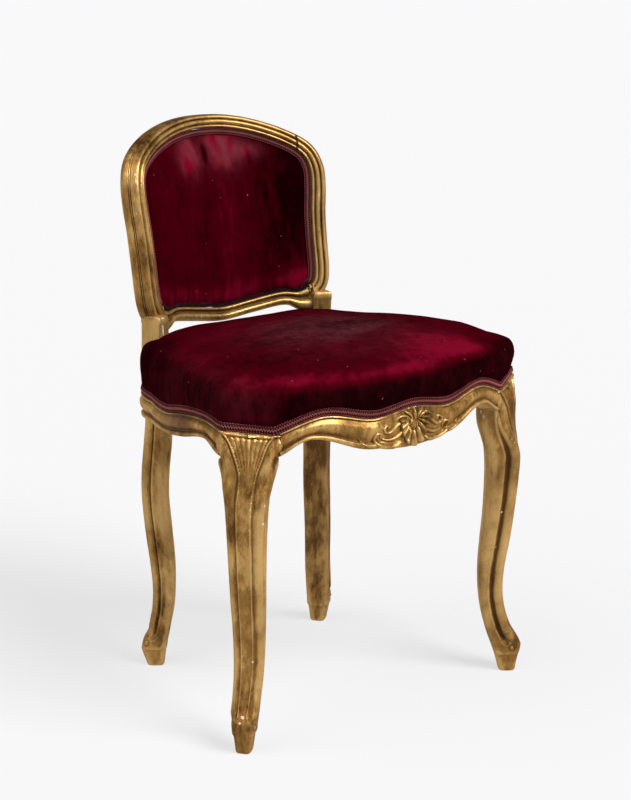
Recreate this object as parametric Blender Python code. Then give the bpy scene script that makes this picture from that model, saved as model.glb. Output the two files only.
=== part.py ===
"""Giltwood side chair in the Louis XV style, with a velvet seat and back.

Run it with: blender --background --python part.py
The right half of the chair is worked out, and the left half mirrors it.
Metres, +Z up. The sitter faces -Y, and +X is to the right of somebody looking along +Y.
"""
import math

import bmesh
import bpy
from mathutils import Vector

# ---------------------------------------------------------------- driving sizes
GAP = 0.0003                  # left between pieces that touch
ORIGIN_Y = 0.17556            # from the front feet to the middle of the chair's depth

# Plan of the seat, from the middle of the front feet
FRONT_CENTRE_Y = -0.052       # the front rail bows out to here
FRONT_BOW = 1.154             # y = FRONT_CENTRE_Y + FRONT_BOW * x * x
KNEE_A = (0.187, -0.0117)     # where the front rail meets the canted corner
KNEE_B = (0.241, 0.0215)      # where the side rail meets it
SIDE_BACK = (0.158, 0.300)    # where the side rail's line ends
SIDE_BOW = 0.012
FRONT_RAIL_END = 0.180        # half length of the front rail
SIDE_RAIL_START = 0.0270      # y where the side rail leaves the front leg
RAIL_THICK = 0.024
BACK_RAIL_FRONT = 0.3000      # y of the plain rail behind the seat
BACK_RAIL_BACK = 0.3220
BACK_RAIL_LOW = 0.3540
BACK_RAIL_TOP = 0.3885
CLOTH_Z = 0.3980              # height of the hessian under the seat, level with the front feet
REBATE = 0.007                # ledge of the rail that the upholstery stands on
SEAT_SLOPE = 0.08             # fall of the rail tops towards the back
SEAT_TOP_FRONT = 0.4225       # height of the rail tops at FRONT_CENTRE_Y

# Heights of the moulding's serpentine top line and lower edge
FRONT_LINE = ((0.0, 0.4160), (0.060, 0.4085), (0.128, 0.4190), (0.187, 0.4000))
FRONT_LOWER = ((0.0, 0.3700), (0.066, 0.3710), (0.142, 0.3910), (0.180, 0.3730))
SIDE_LINE = ((0.0215, 0.4080), (0.063, 0.4115), (0.125, 0.4040), (0.200, 0.3880), (0.300, 0.3820))
SIDE_LOWER = ((0.0270, 0.3750), (0.068, 0.3850), (0.140, 0.3710), (0.200, 0.3600), (0.300, 0.3520))

# Carved shell in the middle of the front rail
SHELL_HALF = 0.050
SHELL_RISE = 0.0070
SHELL_DROP = 0.0045

# Legs
FRONT_FOOT = (0.2226, -0.0008)
BACK_FOOT = (0.1432, 0.3067)
FRONT_LEG_TURN = math.radians(-36.0)    # the way a leg bows, from straight out to the side
BACK_LEG_TURN = math.radians(38.0)
FOOT_PAD_TOP = 0.0240
BACK_SWAY = 0.005             # how far the back leg's upper half stands towards the back and middle
SWAY_LEVELS = (0.120, 0.240)
POST_HALF = 0.0180            # half thickness of the back leg inside the seat frame
POST_TOP = 0.3956
KNEE_BULGE = 0.010            # how far the knee stands out of the canted corner
KNEE_CLEAR = 0.0025           # the knee stands this much further inside the velvet than the rails
FLUTE_DEPTH = 0.0012
# Inner side of the knee inside the seat frame, from the side rail round to the front rail
KNEE_BACK = ((0.2115, 0.0335), (0.2050, 0.0410), (0.1975, 0.0425), (0.1900, 0.0365), (0.1830, 0.0225))
KNEE_BLEND = (0.335, 0.3735)  # the leg turns into the knee between these heights
LIP = 0.0035                  # the rounded edge above the knee's fan

# Back: a curved, raked surface that the velvet's edge lies on
BACK_Y = 0.3524               # at height BACK_Z, on the centre line
BACK_Z = 0.520
BACK_RAKE = math.tan(math.radians(10.05))
BACK_CURVE = 2.236
SIGHT = ((0.0, 0.4745), (0.045, 0.4800), (0.088, 0.4870), (0.113, 0.4865), (0.129, 0.4970),
         (0.1345, 0.5150), (0.1355, 0.5600), (0.1370, 0.5950), (0.1405, 0.6300), (0.1405, 0.6560),
         (0.1315, 0.6765), (0.1060, 0.6930), (0.0690, 0.7065), (0.0330, 0.7135), (0.0, 0.7152))
FRAME_WIDTHS = (0.95, 0.83)    # of the frame's section, in the stiles and at the top of the crest
NARROWING = (0.620, 0.695)    # heights between which it narrows
STILE_FOOT_Z = 0.4880         # top of the square block, foot of the moulded stile
CREST_JOINT_X = 0.128
BLOCK = ((0.1235, 0.2890), (0.1440, 0.2890), (0.1530, 0.3200), (0.1270, 0.3230))
LOWER_RAIL_END = 0.1231
SIGHT_STEPS = 26              # stretches that half of the sight line is divided into

# Upholstery
SEAT_CENTRE = (0.0, 0.140)
SEAT_BULGE = 0.0085
SHOULDER_FRONT = 0.4640       # height of the seat pad's shoulder at the front
SHOULDER_BACK = 0.4540
SEAT_CROWN = 0.4830
# Places round the square block of the back leg, with the outward direction at each
ROUND_BLOCK = ((0.1425, 0.2830, 0.1, 0.995), (0.1195, 0.2865, 0.35, 0.937), (0.1185, 0.3190, 0.8, 0.6))
SKIRT_CLEAR = 0.0009          # between the curved moulding and the straighter stretches of velvet
GIMP_HIGH = 0.0100
GIMP_THICK = 0.0025
BACK_GIMP = 0.0085
BACK_CROWN = 0.0110

GILT = ("gilt_wood", (0.36, 0.235, 0.095, 1.0), 0.42, 0.55)
VELVET = ("crimson_velvet", (0.115, 0.003, 0.012, 1.0), 0.92, 0.0)
BRAID = ("gimp_braid", (0.115, 0.040, 0.042, 1.0), 0.95, 0.0)
HESSIAN = ("hessian", (0.33, 0.255, 0.17, 1.0), 0.97, 0.0)


# ---------------------------------------------------------------- helpers
def clear_scene():
    for item in list(bpy.data.objects):
        bpy.data.objects.remove(item, do_unlink=True)


def value_at(table, where):
    """Smooth value through the (position, value) pairs of a table."""
    if where <= table[0][0]:
        return table[0][1]
    if where >= table[-1][0]:
        return table[-1][1]
    last = len(table) - 1
    slopes = []
    for i in range(last + 1):
        a, b = table[max(i - 1, 0)], table[min(i + 1, last)]
        slopes.append((b[1] - a[1]) / (b[0] - a[0]))
    slopes[0] = 0.0
    for (x0, v0), (x1, v1), m0, m1 in zip(table, table[1:], slopes, slopes[1:]):
        if where <= x1:
            span = x1 - x0
            q = (where - x0) / span
            return ((1 + 2 * q) * (1 - q) ** 2 * v0 + q * (1 - q) ** 2 * span * m0
                    + q * q * (3 - 2 * q) * v1 + q * q * (q - 1) * span * m1)
    return table[-1][1]


def resample(points, count, start=0.0, end=1.0):
    """Evenly spaced points on a smooth curve through the given ones."""
    padded = [points[0]] + list(points) + [points[-1]]
    fine = []
    for p0, p1, p2, p3 in zip(padded, padded[1:], padded[2:], padded[3:]):
        for step in range(8):
            q = step / 8
            fine.append(tuple(0.5 * (2 * b + (c - a) * q + (2 * a - 5 * b + 4 * c - d) * q * q
                                     + (3 * b - a - 3 * c + d) * q ** 3)
                              for a, b, c, d in zip(p0, p1, p2, p3)))
    fine.append(tuple(points[-1]))
    lengths = [0.0]
    for a, b in zip(fine, fine[1:]):
        lengths.append(lengths[-1] + math.dist(a, b))
    result = []
    for i in range(count):
        want = lengths[-1] * (start + (end - start) * i / (count - 1))
        k = max(j for j in range(len(fine) - 1) if lengths[j] <= want + 1e-12)
        q = (want - lengths[k]) / (lengths[k + 1] - lengths[k])
        result.append(tuple(a + (b - a) * q for a, b in zip(fine[k], fine[k + 1])))
    return result


def smoothstep(low, high, x):
    q = min(max((x - low) / (high - low), 0.0), 1.0)
    return q * q * (3 - 2 * q)


def material(finish):
    name, colour, rough, metallic = finish
    mat = bpy.data.materials.get(name)
    if mat is None:
        mat = bpy.data.materials.new(name)
        mat.use_nodes = True
        shader = mat.node_tree.nodes["Principled BSDF"]
        shader.inputs["Base Color"].default_value = colour
        shader.inputs["Roughness"].default_value = rough
        shader.inputs["Metallic"].default_value = metallic
        mat.diffuse_color = colour
    return mat


def add_object(name, mesh_builder, finish):
    mesh = bpy.data.meshes.new(name)
    bmesh.ops.recalc_face_normals(mesh_builder, faces=mesh_builder.faces)
    if mesh_builder.calc_volume(signed=True) < 0 and all(edge.is_manifold for edge in mesh_builder.edges):
        bmesh.ops.reverse_faces(mesh_builder, faces=mesh_builder.faces)
    for face in mesh_builder.faces:
        face.smooth = True
    mesh_builder.to_mesh(mesh)
    mesh_builder.free()
    mesh.materials.append(material(finish))
    item = bpy.data.objects.new(name, mesh)
    item.location = (0.0, -ORIGIN_Y, 0.0)
    bpy.context.collection.objects.link(item)
    return item


def loft(rings, close_start=True, close_end=True, loop=False, domed=False):
    """Bridge equal rings of points in order. Flat ends get one face, domed ones a fan."""
    builder = bmesh.new()
    rows = [[builder.verts.new(p) for p in ring] for ring in rings]
    pairs = list(zip(rows, rows[1:]))
    if loop:
        pairs.append((rows[-1], rows[0]))
    for lower, upper in pairs:
        for i in range(len(lower)):
            j = (i + 1) % len(lower)
            builder.faces.new((lower[i], lower[j], upper[j], upper[i]))
    for row, wanted in ((rows[0], close_start), (rows[-1], close_end)):
        if wanted and not loop and not domed:
            builder.faces.new(row)
        elif wanted and not loop:
            middle = builder.verts.new(sum((v.co for v in row), Vector()) / len(row))
            for i in range(len(row)):
                builder.faces.new((row[i], row[(i + 1) % len(row)], middle))
    return builder


def mirrored(rings):
    return [[(-x, y, z) for x, y, z in reversed(ring)] for ring in rings]


def make_pair(stem, rings, finish):
    """The same piece on both sides of the chair."""
    add_object(stem + "_right", loft(rings), finish)
    add_object(stem + "_left", loft(mirrored(rings)), finish)


def make_symmetric(name, rings, finish):
    """A piece whose first ring lies on the centre line, completed by a Mirror modifier."""
    item = add_object(name, loft(rings, close_start=False), finish)
    modifier = item.modifiers.new("Mirror", "MIRROR")
    modifier.use_axis[0] = True
    modifier.use_clip = True
    modifier.merge_threshold = 0.0001
    return item


# ---------------------------------------------------------------- the seat's plan
def front_y(x):
    return FRONT_CENTRE_Y + FRONT_BOW * x * x


def side_x(y):
    q = (y - KNEE_B[1]) / (SIDE_BACK[1] - KNEE_B[1])
    return KNEE_B[0] + (SIDE_BACK[0] - KNEE_B[0]) * q + SIDE_BOW * 4 * q * (1 - q)


def seat_top(y):
    return SEAT_TOP_FRONT - SEAT_SLOPE * (y - FRONT_CENTRE_Y)


def knee_axes():
    """Middle of the canted corner, its direction to the side and its outward direction."""
    a, b = Vector(KNEE_A), Vector(KNEE_B)
    along = (b - a).normalized()
    return (a + b) / 2, along, Vector((along.y, -along.x))


def knee_line(where):
    """Height of the moulding's top line across the canted corner, 0 at KNEE_A and 1 at KNEE_B."""
    return FRONT_LINE[-1][1] + (SIDE_LINE[0][1] - FRONT_LINE[-1][1]) * where


def front_section(x):
    slope = 2 * FRONT_BOW * x
    outward = Vector((slope, -1.0)).normalized()
    return Vector((x, front_y(x))), outward, value_at(FRONT_LINE, x), value_at(FRONT_LOWER, x)


def side_section(y):
    step = 0.001
    slope = (side_x(y + step) - side_x(y - step)) / (2 * step)
    outward = Vector((1.0, -slope)).normalized()
    return Vector((side_x(y), y)), outward, value_at(SIDE_LINE, y), value_at(SIDE_LOWER, y)


def rail_ring(place, outward, line, lower, rise=0.0):
    """Section of a seat rail: a bead, an ogee and a lip outside, a rebate for the velvet on top."""
    high = line - lower
    face = ((-0.0040, lower), (0.0005, lower + 0.0015), (0.0016, lower + 0.0045),
            (-0.0008 + rise * 0.6, lower + 0.0080), (-0.0010 + rise, lower + high * 0.45),
            (0.0016 + rise * 0.8, lower + high * 0.75), (-0.0004 + rise * 0.4, line - 0.0030),
            (0.0012, line - 0.0014), (0.0004, line))
    inside = [(-REBATE, line)]
    inside += [(-d, seat_top(place.y - outward.y * d)) for d in (REBATE, RAIL_THICK)]
    inside += [(-RAIL_THICK, lower)]
    return [(place.x + outward.x * d, place.y + outward.y * d, z) for d, z in face + tuple(inside)]


# ---------------------------------------------------------------- rails
def shell_rise(x):
    """Carving of the shell: a swelling cut into lobes."""
    if abs(x) >= SHELL_HALF:
        return 0.0
    swelling = math.cos(0.5 * math.pi * x / SHELL_HALF) ** 0.7
    lobes = 0.72 + 0.28 * math.cos(2 * math.pi * x / (SHELL_HALF / 3))
    return SHELL_RISE * swelling * lobes


def make_front_rail():
    shell_steps = 12
    stations = [SHELL_HALF * i / shell_steps for i in range(shell_steps)]
    plain_steps = 12
    beyond = FRONT_RAIL_END - SHELL_HALF
    stations += [SHELL_HALF + beyond * i / plain_steps for i in range(plain_steps + 1)]
    rings = []
    for x in stations:
        place, outward, line, lower = front_section(x)
        drop = SHELL_DROP * max(math.cos(0.5 * math.pi * x / SHELL_HALF), 0.0) if x < SHELL_HALF else 0.0
        rings.append(rail_ring(place, outward, line, lower - drop, shell_rise(x)))
    rings[0] = [(0.0, y, z) for _, y, z in rings[0]]
    slope = 2 * FRONT_BOW * FRONT_RAIL_END
    rings[-1] = [(FRONT_RAIL_END, y + slope * (FRONT_RAIL_END - x), z) for x, y, z in rings[-1]]
    make_symmetric("seat_rail_front", rings, GILT)


def to_plane(ring, previous, point, normal):
    """Move each point of a ring along the line from the ring before it until it meets a plane."""
    result = []
    for p, q in zip(ring, previous):
        p, q = Vector(p), Vector(q)
        run = p - q
        result.append(tuple(p + run * ((point - p).dot(normal) / run.dot(normal))))
    return result


def make_side_rails():
    steps = 11
    _, across = turned(BACK_LEG_TURN)
    across = across.to_3d()
    plane_point = back_leg_middle(BACK_RAIL_TOP).to_3d() + across * (POST_HALF + 2 * GAP)
    last = 0.262
    start = SIDE_RAIL_START + 2 * GAP
    rings = [rail_ring(*side_section(start + (last - start) * i / steps)) for i in range(steps + 1)]
    rings[0] = [(x, start, z) for x, _, z in rings[0]]
    rings.append(to_plane(rings[-1], rings[-2], plane_point, across))
    make_pair("seat_rail", rings, GILT)


def make_back_rail():
    """The plain rail behind the seat, between the two back legs."""
    front, back, low, top = BACK_RAIL_FRONT, BACK_RAIL_BACK, BACK_RAIL_LOW, BACK_RAIL_TOP
    _, across = turned(BACK_LEG_TURN)
    across = across.to_3d()
    plane_point = back_leg_middle(BACK_RAIL_TOP).to_3d() - across * (POST_HALF + 2 * GAP)
    section = ((front, low), (back - 0.004, low), (back, low + 0.004), (back, top),
               (back - REBATE, top), (back - REBATE, seat_top(back)), (front, seat_top(front)))
    rings = [[(x, y, z) for y, z in section] for x in (0.0, 0.045, 0.090)]
    rings.append(to_plane(rings[-1], rings[-2], plane_point, across))
    make_symmetric("seat_rail_back", rings, GILT)


# ---------------------------------------------------------------- legs
# Height, shift of the middle along the leg's bow, half width across it, half depth along it
FRONT_LEG = ((0.0000, 0.0016, 0.0085, 0.0100), (0.0040, 0.0015, 0.0100, 0.0120),
             (FOOT_PAD_TOP, 0.0006, 0.0124, 0.0166), (FOOT_PAD_TOP + 0.0015, 0.0005, 0.0138, 0.0174),
             (0.0400, -0.0010, 0.0146, 0.0211), (0.0475, -0.0045, 0.0148, 0.0204),
             (0.0560, -0.0088, 0.0150, 0.0192), (0.0670, -0.0133, 0.0154, 0.0180),
             (0.0880, -0.0197, 0.0162, 0.0170), (0.1150, -0.0238, 0.0170, 0.0168),
             (0.1500, -0.0238, 0.0180, 0.0181), (0.1850, -0.0201, 0.0193, 0.0198),
             (0.2200, -0.0166, 0.0201, 0.0207), (0.2600, -0.0139, 0.0213, 0.0219),
             (0.3000, -0.0131, 0.0231, 0.0235), (0.3300, -0.0155, 0.0252, 0.0250),
             (0.3500, -0.0203, 0.0270, 0.0270), (0.3620, -0.0228, 0.0282, 0.0275))
BACK_LEG = ((0.0000, 0.0000, 0.0095, 0.0105), (0.0040, 0.0004, 0.0112, 0.0125),
            (FOOT_PAD_TOP, 0.0026, 0.0146, 0.0172), (FOOT_PAD_TOP + 0.0015, 0.0022, 0.0158, 0.0176),
            (0.0360, 0.0002, 0.0160, 0.0169), (0.0480, -0.0042, 0.0161, 0.0151),
            (0.0640, -0.0073, 0.0163, 0.0149), (0.0850, -0.0110, 0.0165, 0.0151),
            (0.1150, -0.0124, 0.0167, 0.0156), (0.1500, -0.0103, 0.0170, 0.0171),
            (0.1900, -0.0058, 0.0172, 0.0180), (0.2350, -0.0014, 0.0173, 0.0183),
            (0.2700, -0.0016, 0.0175, 0.0188), (0.3150, -0.0054, 0.0177, 0.0190),
            (0.3500, -0.0070, POST_HALF, POST_HALF), (POST_TOP, -0.0070, POST_HALF, POST_HALF))

# Half of a leg's section, from the middle of its outer face: a band, a groove, a corner bead,
# a groove in the side and the plain inner half. Fractions of the half width and half depth.
BAND = tuple((0.28 * i / 4, 0.965) for i in range(5))
CORNER = ((0.36, 0.87), (0.52, 0.99), (0.84, 0.86), (1.0, 0.46), (0.91, 0.16), (0.99, -0.04))
INNER = ((0.98, -0.55), (0.70, -0.97))


def turned(angle):
    """Outward direction of a leg turned by an angle, and the direction across it."""
    out = Vector((math.cos(angle), math.sin(angle)))
    return out, Vector((out.y, -out.x))


def back_leg_middle(z):
    """Middle of the back leg at a height."""
    out, across = turned(BACK_LEG_TURN)
    shift = value_at([row[:2] for row in BACK_LEG], z)
    return Vector(BACK_FOOT) + out * shift - across * BACK_SWAY * smoothstep(*SWAY_LEVELS, z)


def leg_section():
    right = BAND + CORNER + INNER
    left = tuple((-t, o) for t, o in reversed(right[1:]))
    return right + ((0.0, -1.0),) + left


def knee_block(height, bulge, inset=0.0):
    """Section of the front leg between the rail ends, in the order of leg_section."""
    middle, along, outward = knee_axes()
    full = (Vector(KNEE_B) - Vector(KNEE_A)).length / 2
    half = full - inset
    curve = []
    for i in range(5):
        t = half * 0.74 * i / 4
        curve.append((t, bulge * (1 - (t / half) ** 2) - inset))
    side_end = Vector((side_x(SIDE_RAIL_START) - inset, SIDE_RAIL_START))
    front_end = Vector((FRONT_RAIL_END + GAP, front_y(FRONT_RAIL_END) + inset))

    def world(t, o):
        return middle + along * t + outward * o

    corner_b = Vector(KNEE_B) - Vector((inset, -inset * 0.35))
    corner_a = Vector(KNEE_A) - Vector((-inset * 0.2, -inset))
    right = [world(t, o) for t, o in curve] + [world(half * 0.88, bulge * 0.2 - inset), corner_b, side_end]
    thick = RAIL_THICK - inset
    right += [side_end - Vector((thick * q, 0.0)) for q in (0.45, 0.8, 1.0)]
    right += [Vector(p) for p in KNEE_BACK[:2]]
    left = [world(-t, o) for t, o in curve[1:]]
    left += [world(-half * 0.88, bulge * 0.2 - inset), corner_a, front_end]
    left += [front_end + Vector((0.0, thick * q)) for q in (0.45, 0.8, 1.0)]
    left += [Vector(p) for p in KNEE_BACK[:2:-1]]
    points = right + [Vector(KNEE_BACK[2])] + left[::-1]
    ring = []
    for p in points:
        where = min(max((p - Vector(KNEE_A)).dot(along) / (2 * full), 0.0), 1.0)
        ring.append((p.x, p.y, height(where, p)))
    return ring


def flutes(ring, strength):
    """Raise every other point of the band, so that the knee's fan shows as ridges."""
    _, _, outward = knee_axes()
    count = len(BAND)
    result = list(ring)
    for i in range(-count + 1, count):
        lift = strength * (0.5 if i % 2 == 0 else -0.5)
        x, y, z = ring[i]
        result[i] = (x + outward.x * lift, y + outward.y * lift, z)
    return result


def make_front_legs():
    outward, along = turned(FRONT_LEG_TURN)
    along = -along
    foot = Vector(FRONT_FOOT)
    section = leg_section()
    rings = []
    for z, shift, wide, deep in FRONT_LEG:
        centre = foot + outward * shift
        ring = []
        for t, o in section:
            p = centre + along * (t * wide) + outward * (o * deep)
            ring.append((p.x, p.y, z))
        rings.append(ring)
    block = knee_block(lambda where, p: KNEE_BLEND[1], KNEE_BULGE)
    for k, (z, *_) in enumerate(FRONT_LEG):
        w = smoothstep(*KNEE_BLEND, z)
        if w > 0:
            rings[k] = [(a[0] + (b[0] - a[0]) * w, a[1] + (b[1] - a[1]) * w, z)
                        for a, b in zip(rings[k], block)]
    rings.append(block)

    def under_line(depth):
        return lambda where, p: knee_line(where) - depth

    rings.append(flutes(knee_block(under_line(0.0170), KNEE_BULGE * 0.75), FLUTE_DEPTH))
    rings.append(flutes(knee_block(under_line(LIP + 0.0004), KNEE_BULGE * 0.30), FLUTE_DEPTH * 2))
    rings.append(knee_block(under_line(LIP), KNEE_BULGE * 0.42))
    rings.append(knee_block(under_line(0.0), KNEE_BULGE * 0.1))
    rings.append(knee_block(under_line(0.0), 0.0, REBATE + KNEE_CLEAR))
    rings.append(knee_block(lambda where, p: seat_top(p.y), 0.0, REBATE + KNEE_CLEAR))
    make_pair("leg_front", rings, GILT)


def back_surface(x, z):
    return BACK_Y + BACK_RAKE * (z - BACK_Z) - BACK_CURVE * x * x


def back_normal(x):
    """Direction from the back towards the sitter."""
    return Vector((-2 * BACK_CURVE * x, -1.0, BACK_RAKE)).normalized()


def frame_point(sight, tangent, u, w):
    """A point u outside the sight line and w in front of the back's surface."""
    x, z = sight
    along = Vector((tangent[0], -2 * BACK_CURVE * x * tangent[0] + BACK_RAKE * tangent[1], tangent[1]))
    normal = back_normal(x)
    out = along.cross(normal).normalized()
    return tuple(Vector((x, back_surface(x, z), z)) + out * u + normal * w)


def tangents(points):
    result = []
    for i in range(len(points)):
        a, b = points[max(i - 1, 0)], points[min(i + 1, len(points) - 1)]
        result.append((b[0] - a[0], b[1] - a[1]))
    return result


# Section of the back frame: distance outside the sight line, height over the back's surface
STILE_PROFILE = ((0.0, 0.0015), (0.0020, 0.0045), (0.0048, 0.0022), (0.0092, 0.0065), (0.0128, 0.0035),
                 (0.0142, 0.0003), (0.0182, 0.0020), (0.0216, -0.0035), (0.0226, -0.0110),
                 (0.0212, -0.0195), (0.0170, -0.0220), (0.0030, -0.0220), (0.0, -0.0200))
LOWER_PROFILE = ((0.0, 0.0020), (0.0016, 0.0040), (0.0034, 0.0010), (0.0060, 0.0005), (0.0090, 0.0050),
                 (0.0128, 0.0030), (0.0148, -0.0040), (0.0140, -0.0150), (0.0115, -0.0180),
                 (0.0020, -0.0180), (0.0, -0.0160))


def sight_path():
    """Places on half of the sight line, from its lowest to its highest point, with their directions."""
    path = resample(SIGHT, SIGHT_STEPS + 1)
    ways = tangents(path)
    ways[0], ways[-1] = (1.0, 0.0), (-1.0, 0.0)
    return list(zip(path, ways))


def first_step(test):
    return next(i for i, (p, _) in enumerate(sight_path()) if test(p))


def crest_joint():
    return first_step(lambda p: p[1] > BACK_Z and p[0] < CREST_JOINT_X)


def stile_ring(sight, tangent):
    low, high = FRAME_WIDTHS
    width = low + (high - low) * smoothstep(*NARROWING, sight[1])
    return [frame_point(sight, tangent, u * width, w) for u, w in STILE_PROFILE]


def make_back_legs():
    """Back leg, square block and moulded stile, cut from one piece of wood."""
    corner_order = ((1.0, -0.25), (1.0, 0.35), (0.86, 0.84), (0.30, 1.0), (-0.35, 1.0), (-0.86, 0.84),
                    (-1.0, 0.35), (-1.0, -0.25), (-0.95, -0.80), (-0.40, -1.0), (0.0, -1.0),
                    (0.40, -1.0), (0.95, -0.80))
    out, across = turned(BACK_LEG_TURN)
    rings = []
    for z, _, wide, deep in BACK_LEG:
        centre = back_leg_middle(z)
        ring = [centre + across * (t * wide) + out * (o * deep) for t, o in corner_order]
        rings.append([(p.x, p.y, z) for p in ring])
    front_in, front_out, back_out, back_in = (Vector(p) for p in BLOCK)
    block = [front_out.lerp(back_out, 0.15), front_out.lerp(back_out, 0.5), back_out.lerp(front_out, 0.08),
             back_out.lerp(back_in, 0.2), back_out.lerp(back_in, 0.75), back_in.lerp(front_in, 0.04),
             back_in.lerp(front_in, 0.4), back_in.lerp(front_in, 0.8), front_in,
             front_in.lerp(front_out, 0.3), front_in.lerp(front_out, 0.5), front_in.lerp(front_out, 0.7),
             front_out]
    block_foot, block_top = POST_TOP + 0.0005, STILE_FOOT_Z - 0.002
    rings.append([(p.x, p.y, block_foot) for p in block])
    lean = BACK_RAKE * (block_top - block_foot) * 0.35
    rings.append([(p.x, p.y + lean, block_top) for p in block])

    start = first_step(lambda p: p[1] > STILE_FOOT_Z + 0.014)
    stile = [stile_ring(p, t) for p, t in sight_path()[start:crest_joint() + 1]]
    # The block's ring starts at its outer front corner and goes round by the back, like the profile
    # read from the outer groove.
    shift = STILE_PROFILE.index((0.0182, 0.0020))
    stile = [ring[shift:] + ring[:shift] for ring in stile]
    first = stile[0]
    foot = [(x, y - BACK_RAKE * 0.012, STILE_FOOT_Z) for x, y, z in first]
    rings.append([(x * 0.985 + 0.0005, y, z) for x, y, z in foot])
    rings += stile
    make_pair("leg_back", rings, GILT)


# ---------------------------------------------------------------- back
def make_crest_rail():
    joint = crest_joint()
    rings = [stile_ring(p, t) for p, t in sight_path()[:joint - 1:-1]]
    (x, z), (along_x, along_z) = sight_path()[joint]
    size = math.hypot(along_x, along_z)
    shift = (GAP * along_x / size, GAP * along_z / size)
    rings[-1] = stile_ring((x + shift[0], z + shift[1]), (along_x, along_z))
    rings[0] = [(0.0, y, z) for _, y, z in rings[0]]
    make_symmetric("back_crest_rail", rings, GILT)


def make_lower_rail():
    """Serpentine rail under the back; each end flares down against its block."""
    straight = first_step(lambda p: p[0] > 0.104)
    places = [(p, t, 1.0) for p, t in sight_path()[:straight]]
    places.append(((0.1125, 0.4864), (1.0, 0.0), 1.45))
    places.append(((LOWER_RAIL_END, 0.4905), (1.0, 0.0), 2.35))
    rings = []
    for p, t, flare in places:
        rings.append([frame_point(p, t, (GAP + u) * flare, w) for u, w in LOWER_PROFILE])
    rings[0] = [(0.0, y, z) for _, y, z in rings[0]]
    rings[-1] = [(LOWER_RAIL_END, y, z) for _, y, z in rings[-1]]
    make_symmetric("back_lower_rail", rings, GILT)


def back_outline(inset):
    """Closed outline inside the sight line, as (x, z) pairs."""
    right = []
    for (x, z), (tx, tz) in sight_path():
        size = math.hypot(tx, tz)
        right.append((x - inset * tz / size, z + inset * tx / size))
    return right + [(-x, z) for x, z in right[-2:0:-1]]


def back_ring(outline, w, scale=1.0):
    middle_z = 0.597
    ring = []
    for x, z in outline:
        x, z = x * scale, middle_z + (z - middle_z) * scale
        ring.append(tuple(Vector((x, back_surface(x, z), z)) + back_normal(x) * w))
    return ring


def make_back_upholstery():
    rim = back_outline(GAP)
    seam = back_outline(BACK_GIMP + 0.0006)
    pad = [back_ring(rim, -0.0130, 0.5), back_ring(rim, -0.0130), back_ring(rim, -0.0010),
           back_ring(seam, -0.0010), back_ring(seam, 0.0015), back_ring(seam, 0.0050, 0.955),
           back_ring(seam, 0.0085, 0.84), back_ring(seam, BACK_CROWN, 0.5)]
    add_object("back_pad", loft(pad, domed=True), VELVET)
    outer = back_outline(0.0005)
    inner = back_outline(BACK_GIMP)
    gimp = [back_ring(outer, -0.0005), back_ring(outer, 0.0020), back_ring(inner, 0.0020),
            back_ring(inner, -0.0005)]
    add_object("back_gimp", loft(gimp, loop=True), BRAID)
    lining = [back_ring(rim, -0.0210, 0.5), back_ring(rim, -0.0210), back_ring(rim, -0.0175),
              back_ring(rim, -0.0175, 0.5)]
    add_object("back_outside_cover", loft(lining, domed=True), VELVET)


# ---------------------------------------------------------------- seat upholstery
def seat_outline():
    """Right half of the upholstery's outline, front to back: place, outward direction, top line."""
    half = []
    for i in range(13):
        half.append(front_section(0.1815 * i / 12)[:3])
    knee_middle, along, outward = knee_axes()
    half.append((Vector(KNEE_A), (front_section(0.187)[1] + outward).normalized(), knee_line(0.0)))
    half.append((knee_middle, outward, knee_line(0.5)))
    half.append((Vector(KNEE_B) - along * 0.003, (outward * 1.2 + Vector((0.3, 0.0))).normalized(),
                 knee_line(1.0) + GAP))
    half.append((Vector((side_x(0.027), 0.027)), Vector((1.0, -0.12)).normalized(), SIDE_LINE[0][1]))
    for i in range(7):
        half.append(side_section(0.052 + 0.035 * i)[:3])
    half.append(side_section(0.272)[:3])
    half.append(side_section(0.278)[:2] + (seat_top(0.278) + 0.001,))
    # Round the square block of the back leg
    for x, y, out_x, out_y in ROUND_BLOCK:
        half.append((Vector((x, y)), Vector((out_x, out_y)), seat_top(y) + 0.003))
    for x in (0.080, 0.040, 0.0):
        half.append((Vector((x, BACK_RAIL_BACK)), Vector((0.0, 1.0)), seat_top(BACK_RAIL_BACK)))
    return half


def seat_ring(outline, distance, height, scale=1.0):
    ring = []
    for place, outward, line in outline:
        if abs(place.x) > 0.110 and place.y > 0.281:
            distance = min(distance, -GAP)
        x = SEAT_CENTRE[0] + (place.x + outward.x * distance - SEAT_CENTRE[0]) * scale
        y = SEAT_CENTRE[1] + (place.y + outward.y * distance - SEAT_CENTRE[1]) * scale
        ring.append((x, y, height(y, line)))
    ring[0] = (0.0,) + ring[0][1:]
    ring[-1] = (0.0,) + ring[-1][1:]
    return ring + [(-x, y, z) for x, y, z in ring[-2:0:-1]]


def shoulder(y):
    q = (y - FRONT_CENTRE_Y) / (0.322 - FRONT_CENTRE_Y)
    return SHOULDER_FRONT + (SHOULDER_BACK - SHOULDER_FRONT) * q


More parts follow.
